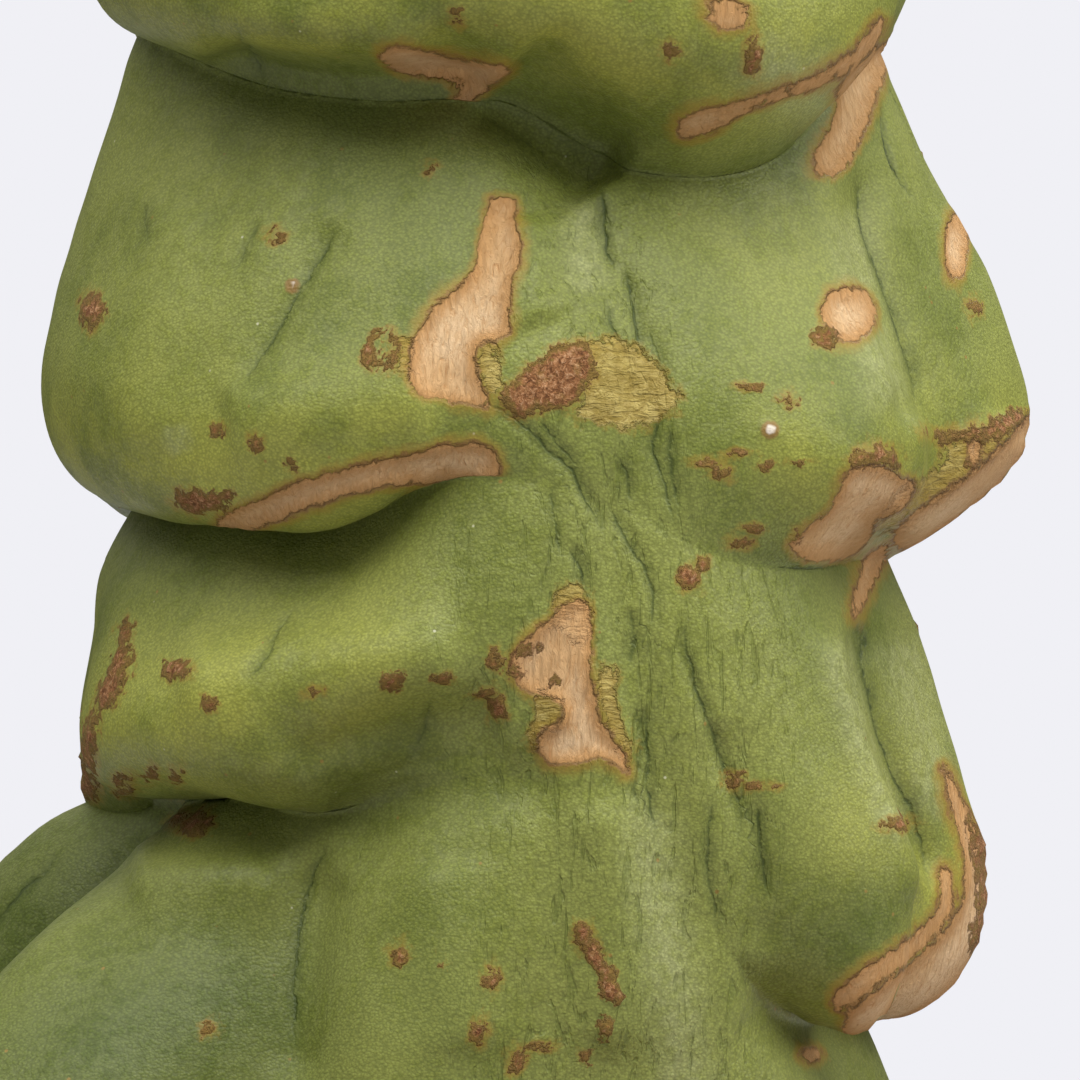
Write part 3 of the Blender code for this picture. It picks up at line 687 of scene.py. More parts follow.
    def scatter_scars(self, name, count, smallest, largest, stretch):
        """More scars on the sides, back, top and base, drawn from one seeded list."""
        chance = random.Random(f"{name} {count}")
        seen_close = (self.facing > 0.5) & (np.abs(self.seen[..., 0]) < CLOSE_HALF_WIDTH)
        seen_close &= (self.seen[..., 1] > CLOSE_LOW) & (self.seen[..., 1] < CLOSE_HIGH)
        while count:
            row = chance.randrange(10, len(self.rows) - 12)
            column = chance.randrange(STEM_COLUMNS)
            if seen_close[row, column]:
                continue
            count -= 1
            half = smallest + (largest - smallest) * chance.random() ** 2.2
            narrow = half / chance.uniform(1, stretch)
            tilt = chance.gauss(0, 0.35)
            phase = chance.uniform(0, 6)
            across = self.place[row, (column + 1) % STEM_COLUMNS] - self.place[row, column]
            across /= np.linalg.norm(across)
            up = np.cross(self.normal[row, column], across)
            gap = self.place - self.place[row, column]
            found = (np.linalg.norm(gap, axis=2) < half + MARK_REACH) & ~seen_close
            x = gap[found] @ across
            z = gap[found] @ up
            turned_x = (x * math.cos(tilt) + z * math.sin(tilt)) / half
            turned_z = (z * math.cos(tilt) - x * math.sin(tilt)) / narrow
            angle = np.arctan2(turned_z, turned_x)
            edge = 1 + 0.22 * np.sin(3 * angle + phase) + 0.13 * np.sin(5 * angle + 2 * phase)
            away = (np.hypot(turned_x, turned_z) - edge) * (half + narrow) / 2
            self.write_mark(name, found, away)

    def sculpt_scars(self):
        """Cork sinks a little inside a raised rim, and crust stands proud and rough."""
        cork, crust = self.marks["cork"], self.marks["crust"]
        lift = -CORK_SUNK * (1 - smooth_step(-0.9, -0.1, cork))
        lift += CORK_RIM * np.exp(-((cork / 0.5) ** 2))
        lift += STAIN_RISE * (1 - smooth_step(-0.3, 0.3, self.marks["mustard"]))
        lift += PIMPLE_RISE * (1 - smooth_step(-0.5, 0.3, self.marks["pimple"]))
        rough = np.zeros(crust.shape)
        for row, column in np.argwhere(crust < 0.3):
            rough[row, column] = noise.noise(Vector(self.place[row, column]) / 0.9)
        lift += (CRUST_RISE + CRUST_ROUGH * rough) * (1 - smooth_step(-0.5, 0.2, crust))
        self.raise_by(lift)

    def shade_fields(self):
        """Fields for how the skin's colour runs over the form: painted shade in folds and creases,
        and yellow crests that are partly painted highlight.
        """
        share = self.share[:, None]
        gap = self.crease_gap()
        bulge = np.zeros(self.facing.shape)
        for tier in range(len(TIERS)):
            bulge[self.tier == tier] = round_the_stem(TIERS[tier][0], self.degrees)
        on_tier = (self.tier >= 0)[:, None]
        full = smooth_step(2, 8, bulge)
        # painted shade: deeper green beside each crease, where the fold's shade falls
        fold = np.exp(-((gap / FOLD_SHADE_REACH) ** 2)) * full * FOLD_SHADE_SHARE
        self.marks["fold"] = np.where(on_tier, fold, 0)
        # painted shade on lobes that face down or lie in the shadow of lobes above
        for degrees, height, deep, half_turn, half_height in PAINTED_SHADE_PATCHES:
            patch = deep * self.patch(degrees, height, half_turn, half_height)
            self.marks["fold"] = np.maximum(self.marks["fold"], patch)
        # painted shadow line at the bottom of each crease, fainter at the soft one
        below = (self.tier == SOFT_CREASE) & (self.share > 0.5)
        above = (self.tier == SOFT_CREASE + 1) & (self.share < 0.5)
        soft = SOFT_SEAM * (below | above)[:, None]
        self.marks["seam"] = np.where(on_tier, np.minimum(gap + soft + 3 * (1 - full), 3), 3)
        # yellow crests, partly painted highlight where the light falls on each lobe's ridge
        wide = (self.tier == WIDE_CREST)[:, None]
        middle, reach = np.where(wide, 0.48, 0.36), np.where(wide, 0.28, 0.20)
        crest = np.exp(-(((share - middle) / reach) ** 2)) * full
        self.marks["crest"] = np.where(on_tier, crest, 0)
        self.marks["valley"] = np.where(on_tier, 1 - smooth_step(1.5, 5.5, bulge), 0)


def stray_wrinkles(surface):
    """Seeded wrinkles: column, first row, last row, wander in degrees and depth."""
    chance = random.Random(41)
    found = []
    while len(found) < STRAY_WRINKLES:
        column = chance.randrange(STEM_COLUMNS)
        first = chance.randrange(12, len(surface.rows) - 30)
        last = first + chance.randrange(8, 20)
        height = surface.place[first : last + 1, column, 2]
        front = abs(surface.degrees[column]) < 74
        if front and height.max() > 62 and height.min() < 162:
            continue
        found.append((column, first, last, chance.uniform(-3, 3), chance.uniform(0.2, 0.5)))
    return found


def link(mesh, name):
    piece = bpy.data.objects.new(name, mesh)
    bpy.context.scene.collection.objects.link(piece)
    return piece


def finished(build, name, shade):
    """Turns a bmesh into an object that rides with the plant."""
    mesh = bpy.data.meshes.new(name)
    build.to_mesh(mesh)
    build.free()
    mesh.materials.append(shade)
    piece = link(mesh, name)
    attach(piece, "root")
    return piece


def write_field(mesh, name, values):
    field = mesh.attributes.new(name, "FLOAT", "POINT")
    field.data.foreach_set("value", np.asarray(values, np.float32).ravel())


def make_stem(shade):
    """A sculpted grid wrapped round the stem, with its marks as fields for the skin to read."""
    surface = StemSurface()
    surface.sculpt_strokes()
    surface.sculpt_lumps()
    surface.sculpt_wrinkles()
    surface.mark_scars()
    for scatter in SCATTERED:
        surface.scatter_scars(*scatter)
    surface.sculpt_scars()
    surface.shade_fields()

    build = bmesh.new()
    rows = len(surface.rows) - 1
    bmesh.ops.create_grid(build, x_segments=STEM_COLUMNS, y_segments=rows, size=0.5)
    mesh = bpy.data.meshes.new("stem_grid")
    build.to_mesh(mesh)
    place = surface.place * MM + (0, 0, GRIT_TOP)
    mesh.vertices.foreach_set("co", place.astype(np.float32).ravel())
    for name, values in surface.marks.items():
        write_field(mesh, name, values)
    build.free()

    build = bmesh.new()
    build.from_mesh(mesh)
    bpy.data.meshes.remove(mesh)
    bmesh.ops.remove_doubles(build, verts=build.verts, dist=0.01 * MM)
    bmesh.ops.recalc_face_normals(build, faces=build.faces)
    for face in build.faces:
        face.smooth = True
    stem = finished(build, "stem", shade)
    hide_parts("cactus_stem")


# ---------------------------------------------------------------- finishes


class Finish:
    """A material and the nodes of its pattern. Sizes are in millimetres on the piece."""

    def __init__(self, name, roughness, specular=0.5):
        self.material = bpy.data.materials.new(name)
        self.material.use_nodes = True
        self.tree = self.material.node_tree
        self.shader = self.tree.nodes["Principled BSDF"]
        self.shader.inputs["Roughness"].default_value = roughness
        self.shader.inputs["Specular IOR Level"].default_value = specular
        self.place = self.tree.nodes.new("ShaderNodeTexCoord").outputs["Object"]
        self.colour = None
        self.relief = None

    def feed(self, socket, value):
        if isinstance(value, bpy.types.NodeSocket):
            self.tree.links.new(value, socket)
        elif socket.type == "RGBA":
            socket.default_value = (*value, 1.0)
        else:
            socket.default_value = value

    def put(self, kind, settings=None, **inputs):
        node = self.tree.nodes.new("ShaderNode" + kind)
        for key, value in (settings or {}).items():
            setattr(node, key, value)
        for key, value in inputs.items():
            self.feed(node.inputs[key.replace("_", " ")], value)
        return node

    def field(self, name):
        """A field that was written on the mesh."""
        return self.put("Attribute", {"attribute_name": name}).outputs["Fac"]

    def sum(self, operation, a, b=0.0, c=0.0):
        node = self.put("Math", {"operation": operation})
        for socket, value in zip(node.inputs, (a, b, c)):
            self.feed(socket, value)
        return node.outputs[0]

    def times(self, a, b, plus=None):
        if plus is None:
            return self.sum("MULTIPLY", a, b)
        return self.sum("MULTIPLY_ADD", a, b, plus)

    def step(self, value, low, high, start=0.0, end=1.0):
        """A smooth change from start to end as value goes from low to high."""
        node = self.put("MapRange", {"interpolation_type": "SMOOTHSTEP"}, Value=value,
                        From_Min=low, From_Max=high, To_Min=start, To_Max=end)
        return node.outputs[0]

    def stretched(self, x, y, z):
        """The piece's place with its pattern stretched by these lengths."""
        scale = (1 / x, 1 / y, 1 / z)
        return self.put("Mapping", Vector=self.place, Scale=scale).outputs[0]

    def noise(self, size, detail=2.0, rough=0.5, warp=0.0, at=None):
        node = self.put("TexNoise", Vector=at or self.place, Scale=1000 / size, Detail=detail)
        node.inputs["Roughness"].default_value = rough
        node.inputs["Distortion"].default_value = warp
        return node.outputs["Fac"]

    def cells(self, size, at=None):
        return self.put("TexVoronoi", Vector=at or self.place, Scale=1000 / size).outputs

    def shades(self, cells, channel):
        """A shade that is the same all over each cell."""
        return self.put("SeparateColor", Color=cells["Color"]).outputs[channel]

    def blend(self, share, under, over, how="MIX"):
        """The over colour laid on the under colour by its share."""
        node = self.put("Mix", {"data_type": "RGBA", "blend_type": how, "clamp_factor": True})
        self.feed(node.inputs[0], share)
        self.feed(node.inputs[6], under)
        self.feed(node.inputs[7], over)
        return node.outputs[2]

    def ground(self, share, under, over):
        """Starts the piece's colour."""
        self.colour = self.blend(share, under, over)

    def lay(self, share, over, how="MIX"):
        """Lays a colour over the ones already there by its share."""
        self.colour = self.blend(share, self.colour, over, how)

    def emboss(self, pattern, height):
        """Raises the skin by this many millimetres of the pattern, or sinks it if under 0."""
        self.relief = self.times(pattern, height, self.relief)

    def mixed(self, share, under, over):
        """A blend of plain numbers."""
        node = self.put("Mix", {"data_type": "FLOAT"})
        self.feed(node.inputs[0], share)
        self.feed(node.inputs[2], under)
        self.feed(node.inputs[3], over)
        return node.outputs[0]

    def done(self, roughness=None):
        """Joins the pattern to the shader."""
        self.feed(self.shader.inputs["Base Color"], self.colour)
        if roughness is not None:
            self.feed(self.shader.inputs["Roughness"], roughness)
        if self.relief is not None:
            bump = self.put("Bump", Height=self.relief, Distance=MM, Strength=1.0)
            self.tree.links.new(bump.outputs[0], self.shader.inputs["Normal"])
        return self.material


# Skin greens and scar browns
SKIN_DEEP = (0.070, 0.094, 0.012)
SKIN_MID = (0.140, 0.166, 0.028)
SKIN_LIGHT = (0.208, 0.230, 0.044)
SKIN_YELLOW = (0.310, 0.310, 0.040)
SKIN_BLOOM = (0.330, 0.345, 0.150)
SKIN_LINE = (0.044, 0.062, 0.012)
CORK_MIDDLE = (0.580, 0.350, 0.158)
CORK_EDGE = (0.450, 0.235, 0.080)
CORK_PALE = (0.650, 0.450, 0.255)
HALO_OLIVE = (0.275, 0.185, 0.026)
CRUST_DARK = (0.165, 0.058, 0.020)
CRUST_MIDDLE = (0.390, 0.165, 0.062)
CRUST_PEACH = (0.620, 0.355, 0.190)
SPOT_OCHRE = (0.260, 0.160, 0.036)
MUSTARD_PALE = (0.420, 0.320, 0.090)
MUSTARD_DARK = (0.240, 0.165, 0.028)
SCAB_BROWN = (0.225, 0.122, 0.034)
SPECK_PALE = (0.60, 0.58, 0.42)
PIMPLE_PALE = (0.66, 0.58, 0.48)

# Clay, grit, soil, gravel and paper
CLAY_DARK = (0.46, 0.165, 0.075)
CLAY_LIGHT = (0.52, 0.205, 0.100)
CLAY_BLOTCH = (0.36, 0.115, 0.052)
CLAY_RINGS = (0.58, 0.26, 0.14)
CLAY_DAMP = (0.30, 0.115, 0.060)
CLAY_SALT = (0.66, 0.55, 0.46)
CLAY_SAND = (0.25, 0.08, 0.04)
CLAY_WORN = (0.64, 0.34, 0.22)
CLAY_SPECK = (0.70, 0.52, 0.38)
GRIT_DARK = (0.150, 0.120, 0.095)
GRIT_MIDDLE = (0.360, 0.300, 0.235)
GRIT_PALE = (0.540, 0.480, 0.400)
GRIT_RED = (0.300, 0.130, 0.075)
GRIT_SPECKLE = (0.130, 0.110, 0.090)
SOIL_DARK = (0.030, 0.018, 0.011)
SOIL_BROWN = (0.085, 0.055, 0.034)
PUMICE = (0.46, 0.42, 0.36)
GRAVEL_DARK = (0.13, 0.115, 0.10)
GRAVEL_PALE = (0.42, 0.38, 0.33)
GRAVEL_GAP_SHADE = (0.05, 0.042, 0.035)
SHARD_DARK = (0.30, 0.11, 0.055)
SHARD_LIGHT = (0.42, 0.18, 0.10)
SHARD_GRAIN = (0.16, 0.07, 0.04)
PAPER_DARK = (0.44, 0.44, 0.45)
PAPER_LIGHT = (0.46, 0.46, 0.47)


def skin_finish():
    """Waxy green skin: fine grain, pale bloom, wrinkles, cork scars, crusts and olive stains, with
    painted shade in the folds and creases and painted highlight on the crests.
    """
    skin = Finish("cactus_skin", 0.5, specular=0.27)
    broad = skin.noise(22, 1)
    patch = skin.noise(9, 3, 0.6)
    fine = skin.noise(1.1, 3, 0.65)
    dust = skin.noise(0.19, 1, 0.6)
    pebbling = skin.cells(0.23, skin.stretched(1.25, 1.25, 1))["Distance"]
    leather = skin.cells(0.62, skin.stretched(1, 1, 1.5))["Distance"]
    crest = skin.field("crest")
    valley = skin.field("valley")

    # green ground
    skin.ground(skin.step(broad, 0.34, 0.66), SKIN_MID, SKIN_LIGHT)
    skin.lay(skin.step(patch, 0.44, 0.74, 0, 0.38), SKIN_DEEP)
    # yellow crests: partly the skin's colour, partly painted highlight
    crest_yellow_and_highlight = skin.times(crest, skin.step(patch, 0.66, 0.36, 0.20, 0.85))
    skin.lay(crest_yellow_and_highlight, SKIN_YELLOW)
    skin.lay(skin.times(valley, 0.45), SKIN_LIGHT)
    # painted shade in the folds and on the lobes lying in shadow
    skin.lay(skin.field("fold"), SKIN_DEEP)
    dusty = skin.times(skin.field("bloom"), skin.step(fine, 0.3, 0.7, 0.35, 0.85))
    haze = skin.step(skin.times(patch, fine), 0.22, 0.34, 0.10, 0)
    skin.lay(skin.sum("MAXIMUM", dusty, haze), SKIN_BLOOM)
    grain = skin.step(pebbling, 0.15, 0.75, 1.13, 0.82)
    grain = skin.times(grain, skin.step(dust, 0.25, 0.75, 0.90, 1.10))
    hide = skin.mixed(valley, 1.0, skin.step(leather, 0.2, 0.8, 1.04, 0.93))
    grain = skin.times(grain, hide)
    grains = skin.put("CombineColor", Red=grain, Green=grain, Blue=grain).outputs[0]
    skin.lay(1.0, grains, "MULTIPLY")

    # short stretched creases in the valley
    strand = skin.noise(0.9, 3, 0.6, 0.8, skin.stretched(1, 1, 4.5))
    strands = skin.times(valley, skin.step(strand, 0.54, 0.68))
    skin.lay(skin.times(strands, 0.32), SKIN_DEEP)

    # thin wrinkles, darker green with painted shade along and beside them, and a painted shadow
    # line at the bottom of each fold
    waver = skin.step(patch, 0.25, 0.75, -0.5, 0.5)
    waver = skin.sum("ADD", waver, skin.step(fine, 0.25, 0.75, -0.12, 0.12))
    shallow = None
    for group in range(WRINKLE_GROUPS):
        offset = skin.sum("ABSOLUTE", skin.sum("ADD", skin.field(f"wrinkle_{group}"), waver))
        uneven = skin.step(fine, 0.3, 0.6, 0.55, 1.0)
        deep = skin.times(skin.field(f"wrinkle_{group}_depth"), uneven)
        line = skin.times(skin.step(offset, 0.0, 0.20, 0.52, 0), deep)
        both = skin.times(skin.step(offset, 0.05, 0.95, 0.42, 0), deep, line)
        shallow = both if shallow is None else skin.sum("MAXIMUM", shallow, both)
    seam = skin.sum("ADD", skin.field("seam"), skin.step(fine, 0.2, 0.8, -0.15, 0.15))
    shallow = skin.sum("MAXIMUM", shallow, skin.step(seam, 0.05, 0.40, 0.70, 0))
    skin.lay(shallow, SKIN_LINE)

    # specks: tiny pale scabs and brown points
    specks = skin.cells(3.6)
    shade = skin.shades(specks, 0)
    speck = skin.step(specks["Distance"], 0.020, 0.042, 1, 0)
    pale = skin.times(speck, skin.step(shade, 0.55, 0.56, 0, 0.55))
    skin.lay(pale, SPECK_PALE)
    brown = skin.times(speck, skin.step(shade, 0.30, 0.29, 0, 0.70))
    skin.lay(brown, SCAB_BROWN)
    flecks = skin.cells(1.9)
    fleck = skin.step(skin.times(fine, 0.10, flecks["Distance"]), 0.10, 0.16, 1, 0)
    shade = skin.times(crest, -0.10, skin.shades(flecks, 1))
    fleck = skin.times(fleck, skin.step(shade, 0.13, 0.12, 0, 0.8))
    skin.lay(fleck, SPOT_OCHRE)

    # ragged edges for every scar
    ragged = skin.step(skin.noise(1.3, 4, 0.7), 0.25, 0.75, -0.42, 0.42)
    cork = skin.times(ragged, 0.6, skin.sum("SUBTRACT", skin.field("cork"), 0.12))
    crust = skin.times(ragged, 1.3, skin.field("crust"))
    mustard = skin.times(ragged, 1.5, skin.field("mustard"))

    # olive stains, finely creased across
    creased = skin.noise(0.55, 3, 0.65, 0.8, skin.stretched(3.0, 3.0, 1))
    stain = skin.blend(skin.step(fine, 0.30, 0.70), MUSTARD_PALE, MUSTARD_DARK)
    stain = skin.blend(skin.step(creased, 0.48, 0.62, 0, 0.8), stain, MUSTARD_DARK)
    in_stain = skin.step(mustard, 0.10, -0.30)
    skin.lay(skin.step(mustard, 0.60, 0.0, 0, 0.5), HALO_OLIVE)
    skin.lay(skin.times(in_stain, 0.85), stain)
    nearest = skin.sum("MINIMUM", cork, skin.sum("ADD", crust, 0.25))
    halo = skin.step(nearest, 0.10, skin.step(patch, 0.3, 0.7, 0.55, 1.4), 0.80, 0)
    skin.lay(halo, HALO_OLIVE)

    # cork
    fibre = skin.noise(0.42, 4, 0.7, 1.0, skin.stretched(1.0, 1, 4.2))
    tan = skin.blend(skin.step(patch, 0.35, 0.62), CORK_MIDDLE, CORK_PALE)
    near_edge = skin.step(skin.times(patch, 1.6, cork), 0.75, -0.9, 0.9, 0)
    tan = skin.blend(near_edge, tan, CORK_EDGE)
    tan = skin.blend(skin.step(fibre, 0.46, 0.68, 0, 0.55), tan, CORK_EDGE)
    tan = skin.blend(skin.step(fibre, 0.60, 0.76, 0, 0.70), tan, CRUST_MIDDLE)
    in_cork = skin.step(cork, 0.0, -0.14)
    broken = skin.step(skin.times(patch, fine), 0.16, 0.30, 0.10, 1.0)
    rim = skin.times(skin.step(cork, 0.30, 0.04), broken)
    skin.lay(rim, SCAB_BROWN)
    skin.lay(in_cork, tan)
    inner_rim = skin.step(skin.sum("ABSOLUTE", skin.sum("ADD", cork, 0.10)), 0.0, 0.16, 0.75, 0)
    skin.lay(skin.times(inner_rim, broken), SCAB_BROWN)

    # crust: small spots stay ochre, larger ones turn to scab in the middle
    crumb = skin.noise(0.40, 4, 0.75, 0.8)
    scab = skin.blend(skin.step(crumb, 0.38, 0.56), CRUST_DARK, CRUST_MIDDLE)
    scab = skin.blend(skin.step(crumb, 0.50, 0.66, 0, 0.85), scab, CRUST_PEACH)
    thin = skin.blend(skin.step(fine, 0.35, 0.60), SCAB_BROWN, SPOT_OCHRE)
    scab = skin.blend(skin.step(skin.times(fine, 0.8, crust), 0.20, -0.25), thin, scab)
    in_crust = skin.step(crust, 0.08, -0.12)
    outline = skin.step(skin.sum("ABSOLUTE", skin.sum("SUBTRACT", crust, 0.04)), 0.0, 0.14, 0.6, 0)
    skin.lay(outline, CRUST_DARK)
    skin.lay(skin.times(in_crust, skin.step(fine, 0.25, 0.5, 0.65, 0.95)), scab)

    # pimples
    pimple = skin.field("pimple")
    skin.lay(skin.step(pimple, 0.30, 0.0, 0, 0.85), SCAB_BROWN)
    skin.lay(skin.step(pimple, -0.08, -0.3), PIMPLE_PALE)

    # relief
    skin.emboss(pebbling, -0.032)
    skin.emboss(dust, 0.030)
    skin.emboss(skin.times(leather, valley), -0.06)
    skin.emboss(fine, 0.08)
    skin.emboss(strands, -0.10)
    skin.emboss(shallow, -0.16)
    plain = skin.sum("SUBTRACT", 1.0, skin.sum("MAXIMUM", in_cork, in_crust))
    skin.relief = skin.times(skin.relief, plain)
    skin.emboss(skin.times(creased, in_stain), -0.50)
    skin.emboss(skin.times(fibre, in_cork), -0.34)
    skin.emboss(skin.times(crumb, in_crust), 0.55)
    skin.emboss(skin.step(cork, 0.3, -0.2), -0.10)
    wax = skin.step(fine, 0.2, 0.8, 0.42, 0.55)
    rough = skin.mixed(skin.sum("MAXIMUM", in_cork, in_crust), wax, 0.85)
    return skin.done(rough)


def clay_finish():
    """Fired terracotta: sandy grain, turning marks, damp low down and a pale mineral bloom."""
    clay = Finish("terracotta", 0.85, specular=0.25)
    broad = clay.noise(38, 3)
    blotch = clay.noise(9, 4, 0.6)
    grain = clay.noise(0.7, 3, 0.7)
    rings = clay.noise(2.2, 3, 0.6, 0.0, clay.stretched(40, 40, 1))
    height = clay.put("SeparateXYZ", Vector=clay.place).outputs["Z"]

    clay.ground(clay.step(broad, 0.35, 0.65), CLAY_DARK, CLAY_LIGHT)
    clay.lay(clay.step(blotch, 0.5, 0.75, 0, 0.35), CLAY_BLOTCH)
    clay.lay(clay.step(rings, 0.5, 0.75, 0, 0.2), CLAY_RINGS)
    low = clay.sum("ADD", height, clay.step(blotch, 0.3, 0.7, -0.012, 0.012))
    clay.lay(clay.step(low, 0.004, 0.050, 0.45, 0), CLAY_DAMP)
    salt_band = clay.step(clay.sum("ABSOLUTE", clay.sum("SUBTRACT", low, 0.052)), 0.0, 0.026, 1, 0)
    salt = clay.times(salt_band, clay.step(clay.noise(13, 5, 0.7), 0.42, 0.72, 0, 0.50))
    clay.lay(salt, CLAY_SALT)
    clay.lay(clay.step(grain, 0.62, 0.78, 0, 0.35), CLAY_SAND)
    clay.lay(clay.step(clay.field("worn"), 0.2, 0.8, 0, 0.5), CLAY_WORN)
    pale = clay.cells(3.4)["Distance"]
    clay.lay(clay.step(pale, 0.05, 0.09, 0.5, 0), CLAY_SPECK)

    clay.emboss(grain, 0.10)
    clay.emboss(rings, 0.12)
    clay.emboss(clay.step(pale, 0.04, 0.09), 0.06)
    return clay.done(clay.step(salt, 0, 0.5, 0.82, 0.95))


def grit_finish():
    """Mixed horticultural grit, a colour to each stone, with a little dust."""
    grit = Finish("grit", 0.8, specular=0.3)
    pick = grit.field("stone")
    speckle = grit.noise(0.5, 3, 0.7)
    grit.ground(grit.step(pick, 0.0, 0.45), GRIT_DARK, GRIT_MIDDLE)
    grit.lay(grit.step(pick, 0.45, 0.80), GRIT_PALE)
    grit.lay(grit.step(pick, 0.86, 0.90), GRIT_RED)
    grit.lay(grit.step(speckle, 0.45, 0.7, 0, 0.5), GRIT_SPECKLE)
    grit.emboss(speckle, 0.12)
    return grit.done()


def soil_finish():
    """Dark gritty potting soil with pale pumice crumbs."""
    soil = Finish("potting_soil", 0.95, specular=0.2)
    crumb = soil.cells(2.6)
    clod = soil.noise(5, 4, 0.7)
    soil.ground(soil.step(clod, 0.35, 0.65), SOIL_DARK, SOIL_BROWN)
    pumice = soil.step(crumb["Distance"], 0.10, 0.16, 1, 0)
    soil.lay(pumice, PUMICE)
    soil.emboss(clod, 1.2)
    return soil.done()


def gravel_finish():
    """Grey-brown drainage gravel, a shade to each stone, with painted shade in the gaps between
    them.
    """
    gravel = Finish("drainage_gravel", 0.85, specular=0.3)
    stones = gravel.cells(7.0)
    shade = gravel.shades(stones, 0)
    gravel.ground(gravel.step(shade, 0.1, 0.9), GRAVEL_DARK, GRAVEL_PALE)
    # painted shade in the gaps between the stones, which the bump also sinks
    gap = gravel.step(stones["Distance"], 0.45, 0.75)
    gravel.lay(gap, GRAVEL_GAP_SHADE)
    gravel.emboss(gap, -1.8)
    return gravel.done()


def shard_finish():
    """Broken pot clay, darker and rougher than the pot."""
    shard = Finish("crock_shard", 0.9, specular=0.25)
    blotch = shard.noise(6, 4, 0.6)
    grain = shard.noise(0.8, 3, 0.7)
    shard.ground(shard.step(blotch, 0.35, 0.65), SHARD_DARK, SHARD_LIGHT)
    shard.lay(shard.step(grain, 0.6, 0.8, 0, 0.4), SHARD_GRAIN)
    shard.emboss(grain, 0.25)
    return shard.done()


# ---------------------------------------------------------------- pot and grit

POT_STEPS = 160
GRIT_STEPS = 200
POT_WALL = 7.0
POT_FLOOR = 8.0
POT_FOOT_RADIUS = 57.0
COLLAR_HEIGHT = 28.0
COLLAR_STEP = 4.0
COLLAR_DRAFT = 2.0
RIM_ROUND = 2.6
DRAIN_RADIUS = 9.0
POT_WOBBLE = 0.30
POT_RIDGES = 0.12
FIT_GAP = 0.3  # between pieces that touch
GRIT_SUNK = 2.2  # the fine grit's surface lies this far under the tops of the stones
GRIT_STONES = 1500
STONE_SIZES = (1.3, 3.1)  # half length of the smallest and the largest stone


def inner_radius(z):
    low = POT_FOOT_RADIUS - POT_WALL
    high = RIM_RADIUS - COLLAR_STEP - POT_WALL + COLLAR_DRAFT
    return low + (high - low) * (z - POT_FLOOR) / (POT_HEIGHT - POT_FLOOR)


def body_radius(z):
    high = RIM_RADIUS - COLLAR_STEP - COLLAR_DRAFT
    return POT_FOOT_RADIUS + (high - POT_FOOT_RADIUS) * z / (POT_HEIGHT - COLLAR_HEIGHT)


def turned(corners, steps, cuts):
    """A bmesh turned from a closed profile of (radius, height) corners, its runs cut up."""
    build = bmesh.new()
    verts = [build.verts.new((x * MM, 0, z * MM)) for x, z in corners]
    for edge in [build.edges.new(pair) for pair in zip(verts, verts[1:] + verts[:1])]:
        pieces = int(edge.calc_length() / (cuts * MM))
        if pieces > 1:
            bmesh.ops.subdivide_edges(build, edges=[edge], cuts=pieces - 1)
    bmesh.ops.spin(build, geom=build.verts[:] + build.edges[:], cent=(0, 0, 0), axis=(0, 0, 1),
                   angle=2 * math.pi, steps=steps, use_merge=True, use_duplicate=False)
    bmesh.ops.remove_doubles(build, verts=build.verts, dist=0.01 * MM)
    bmesh.ops.recalc_face_normals(build, faces=build.faces)
    return build


def soften_ring(build, radius, height, round_by, segments):
    """Rounds the turned edge at this radius and height."""

    def on_ring(v):
        near = abs(math.hypot(v.co.x, v.co.y) - radius * MM) < 0.05 * MM
        return near and abs(v.co.z - height * MM) < 0.05 * MM

    ring = [edge for edge in build.edges if all(on_ring(v) for v in edge.verts)]
    bmesh.ops.bevel(build, geom=ring, offset=round_by * MM, offset_type="OFFSET", affect="EDGES",
                    segments=segments, profile=0.5, material=-1)


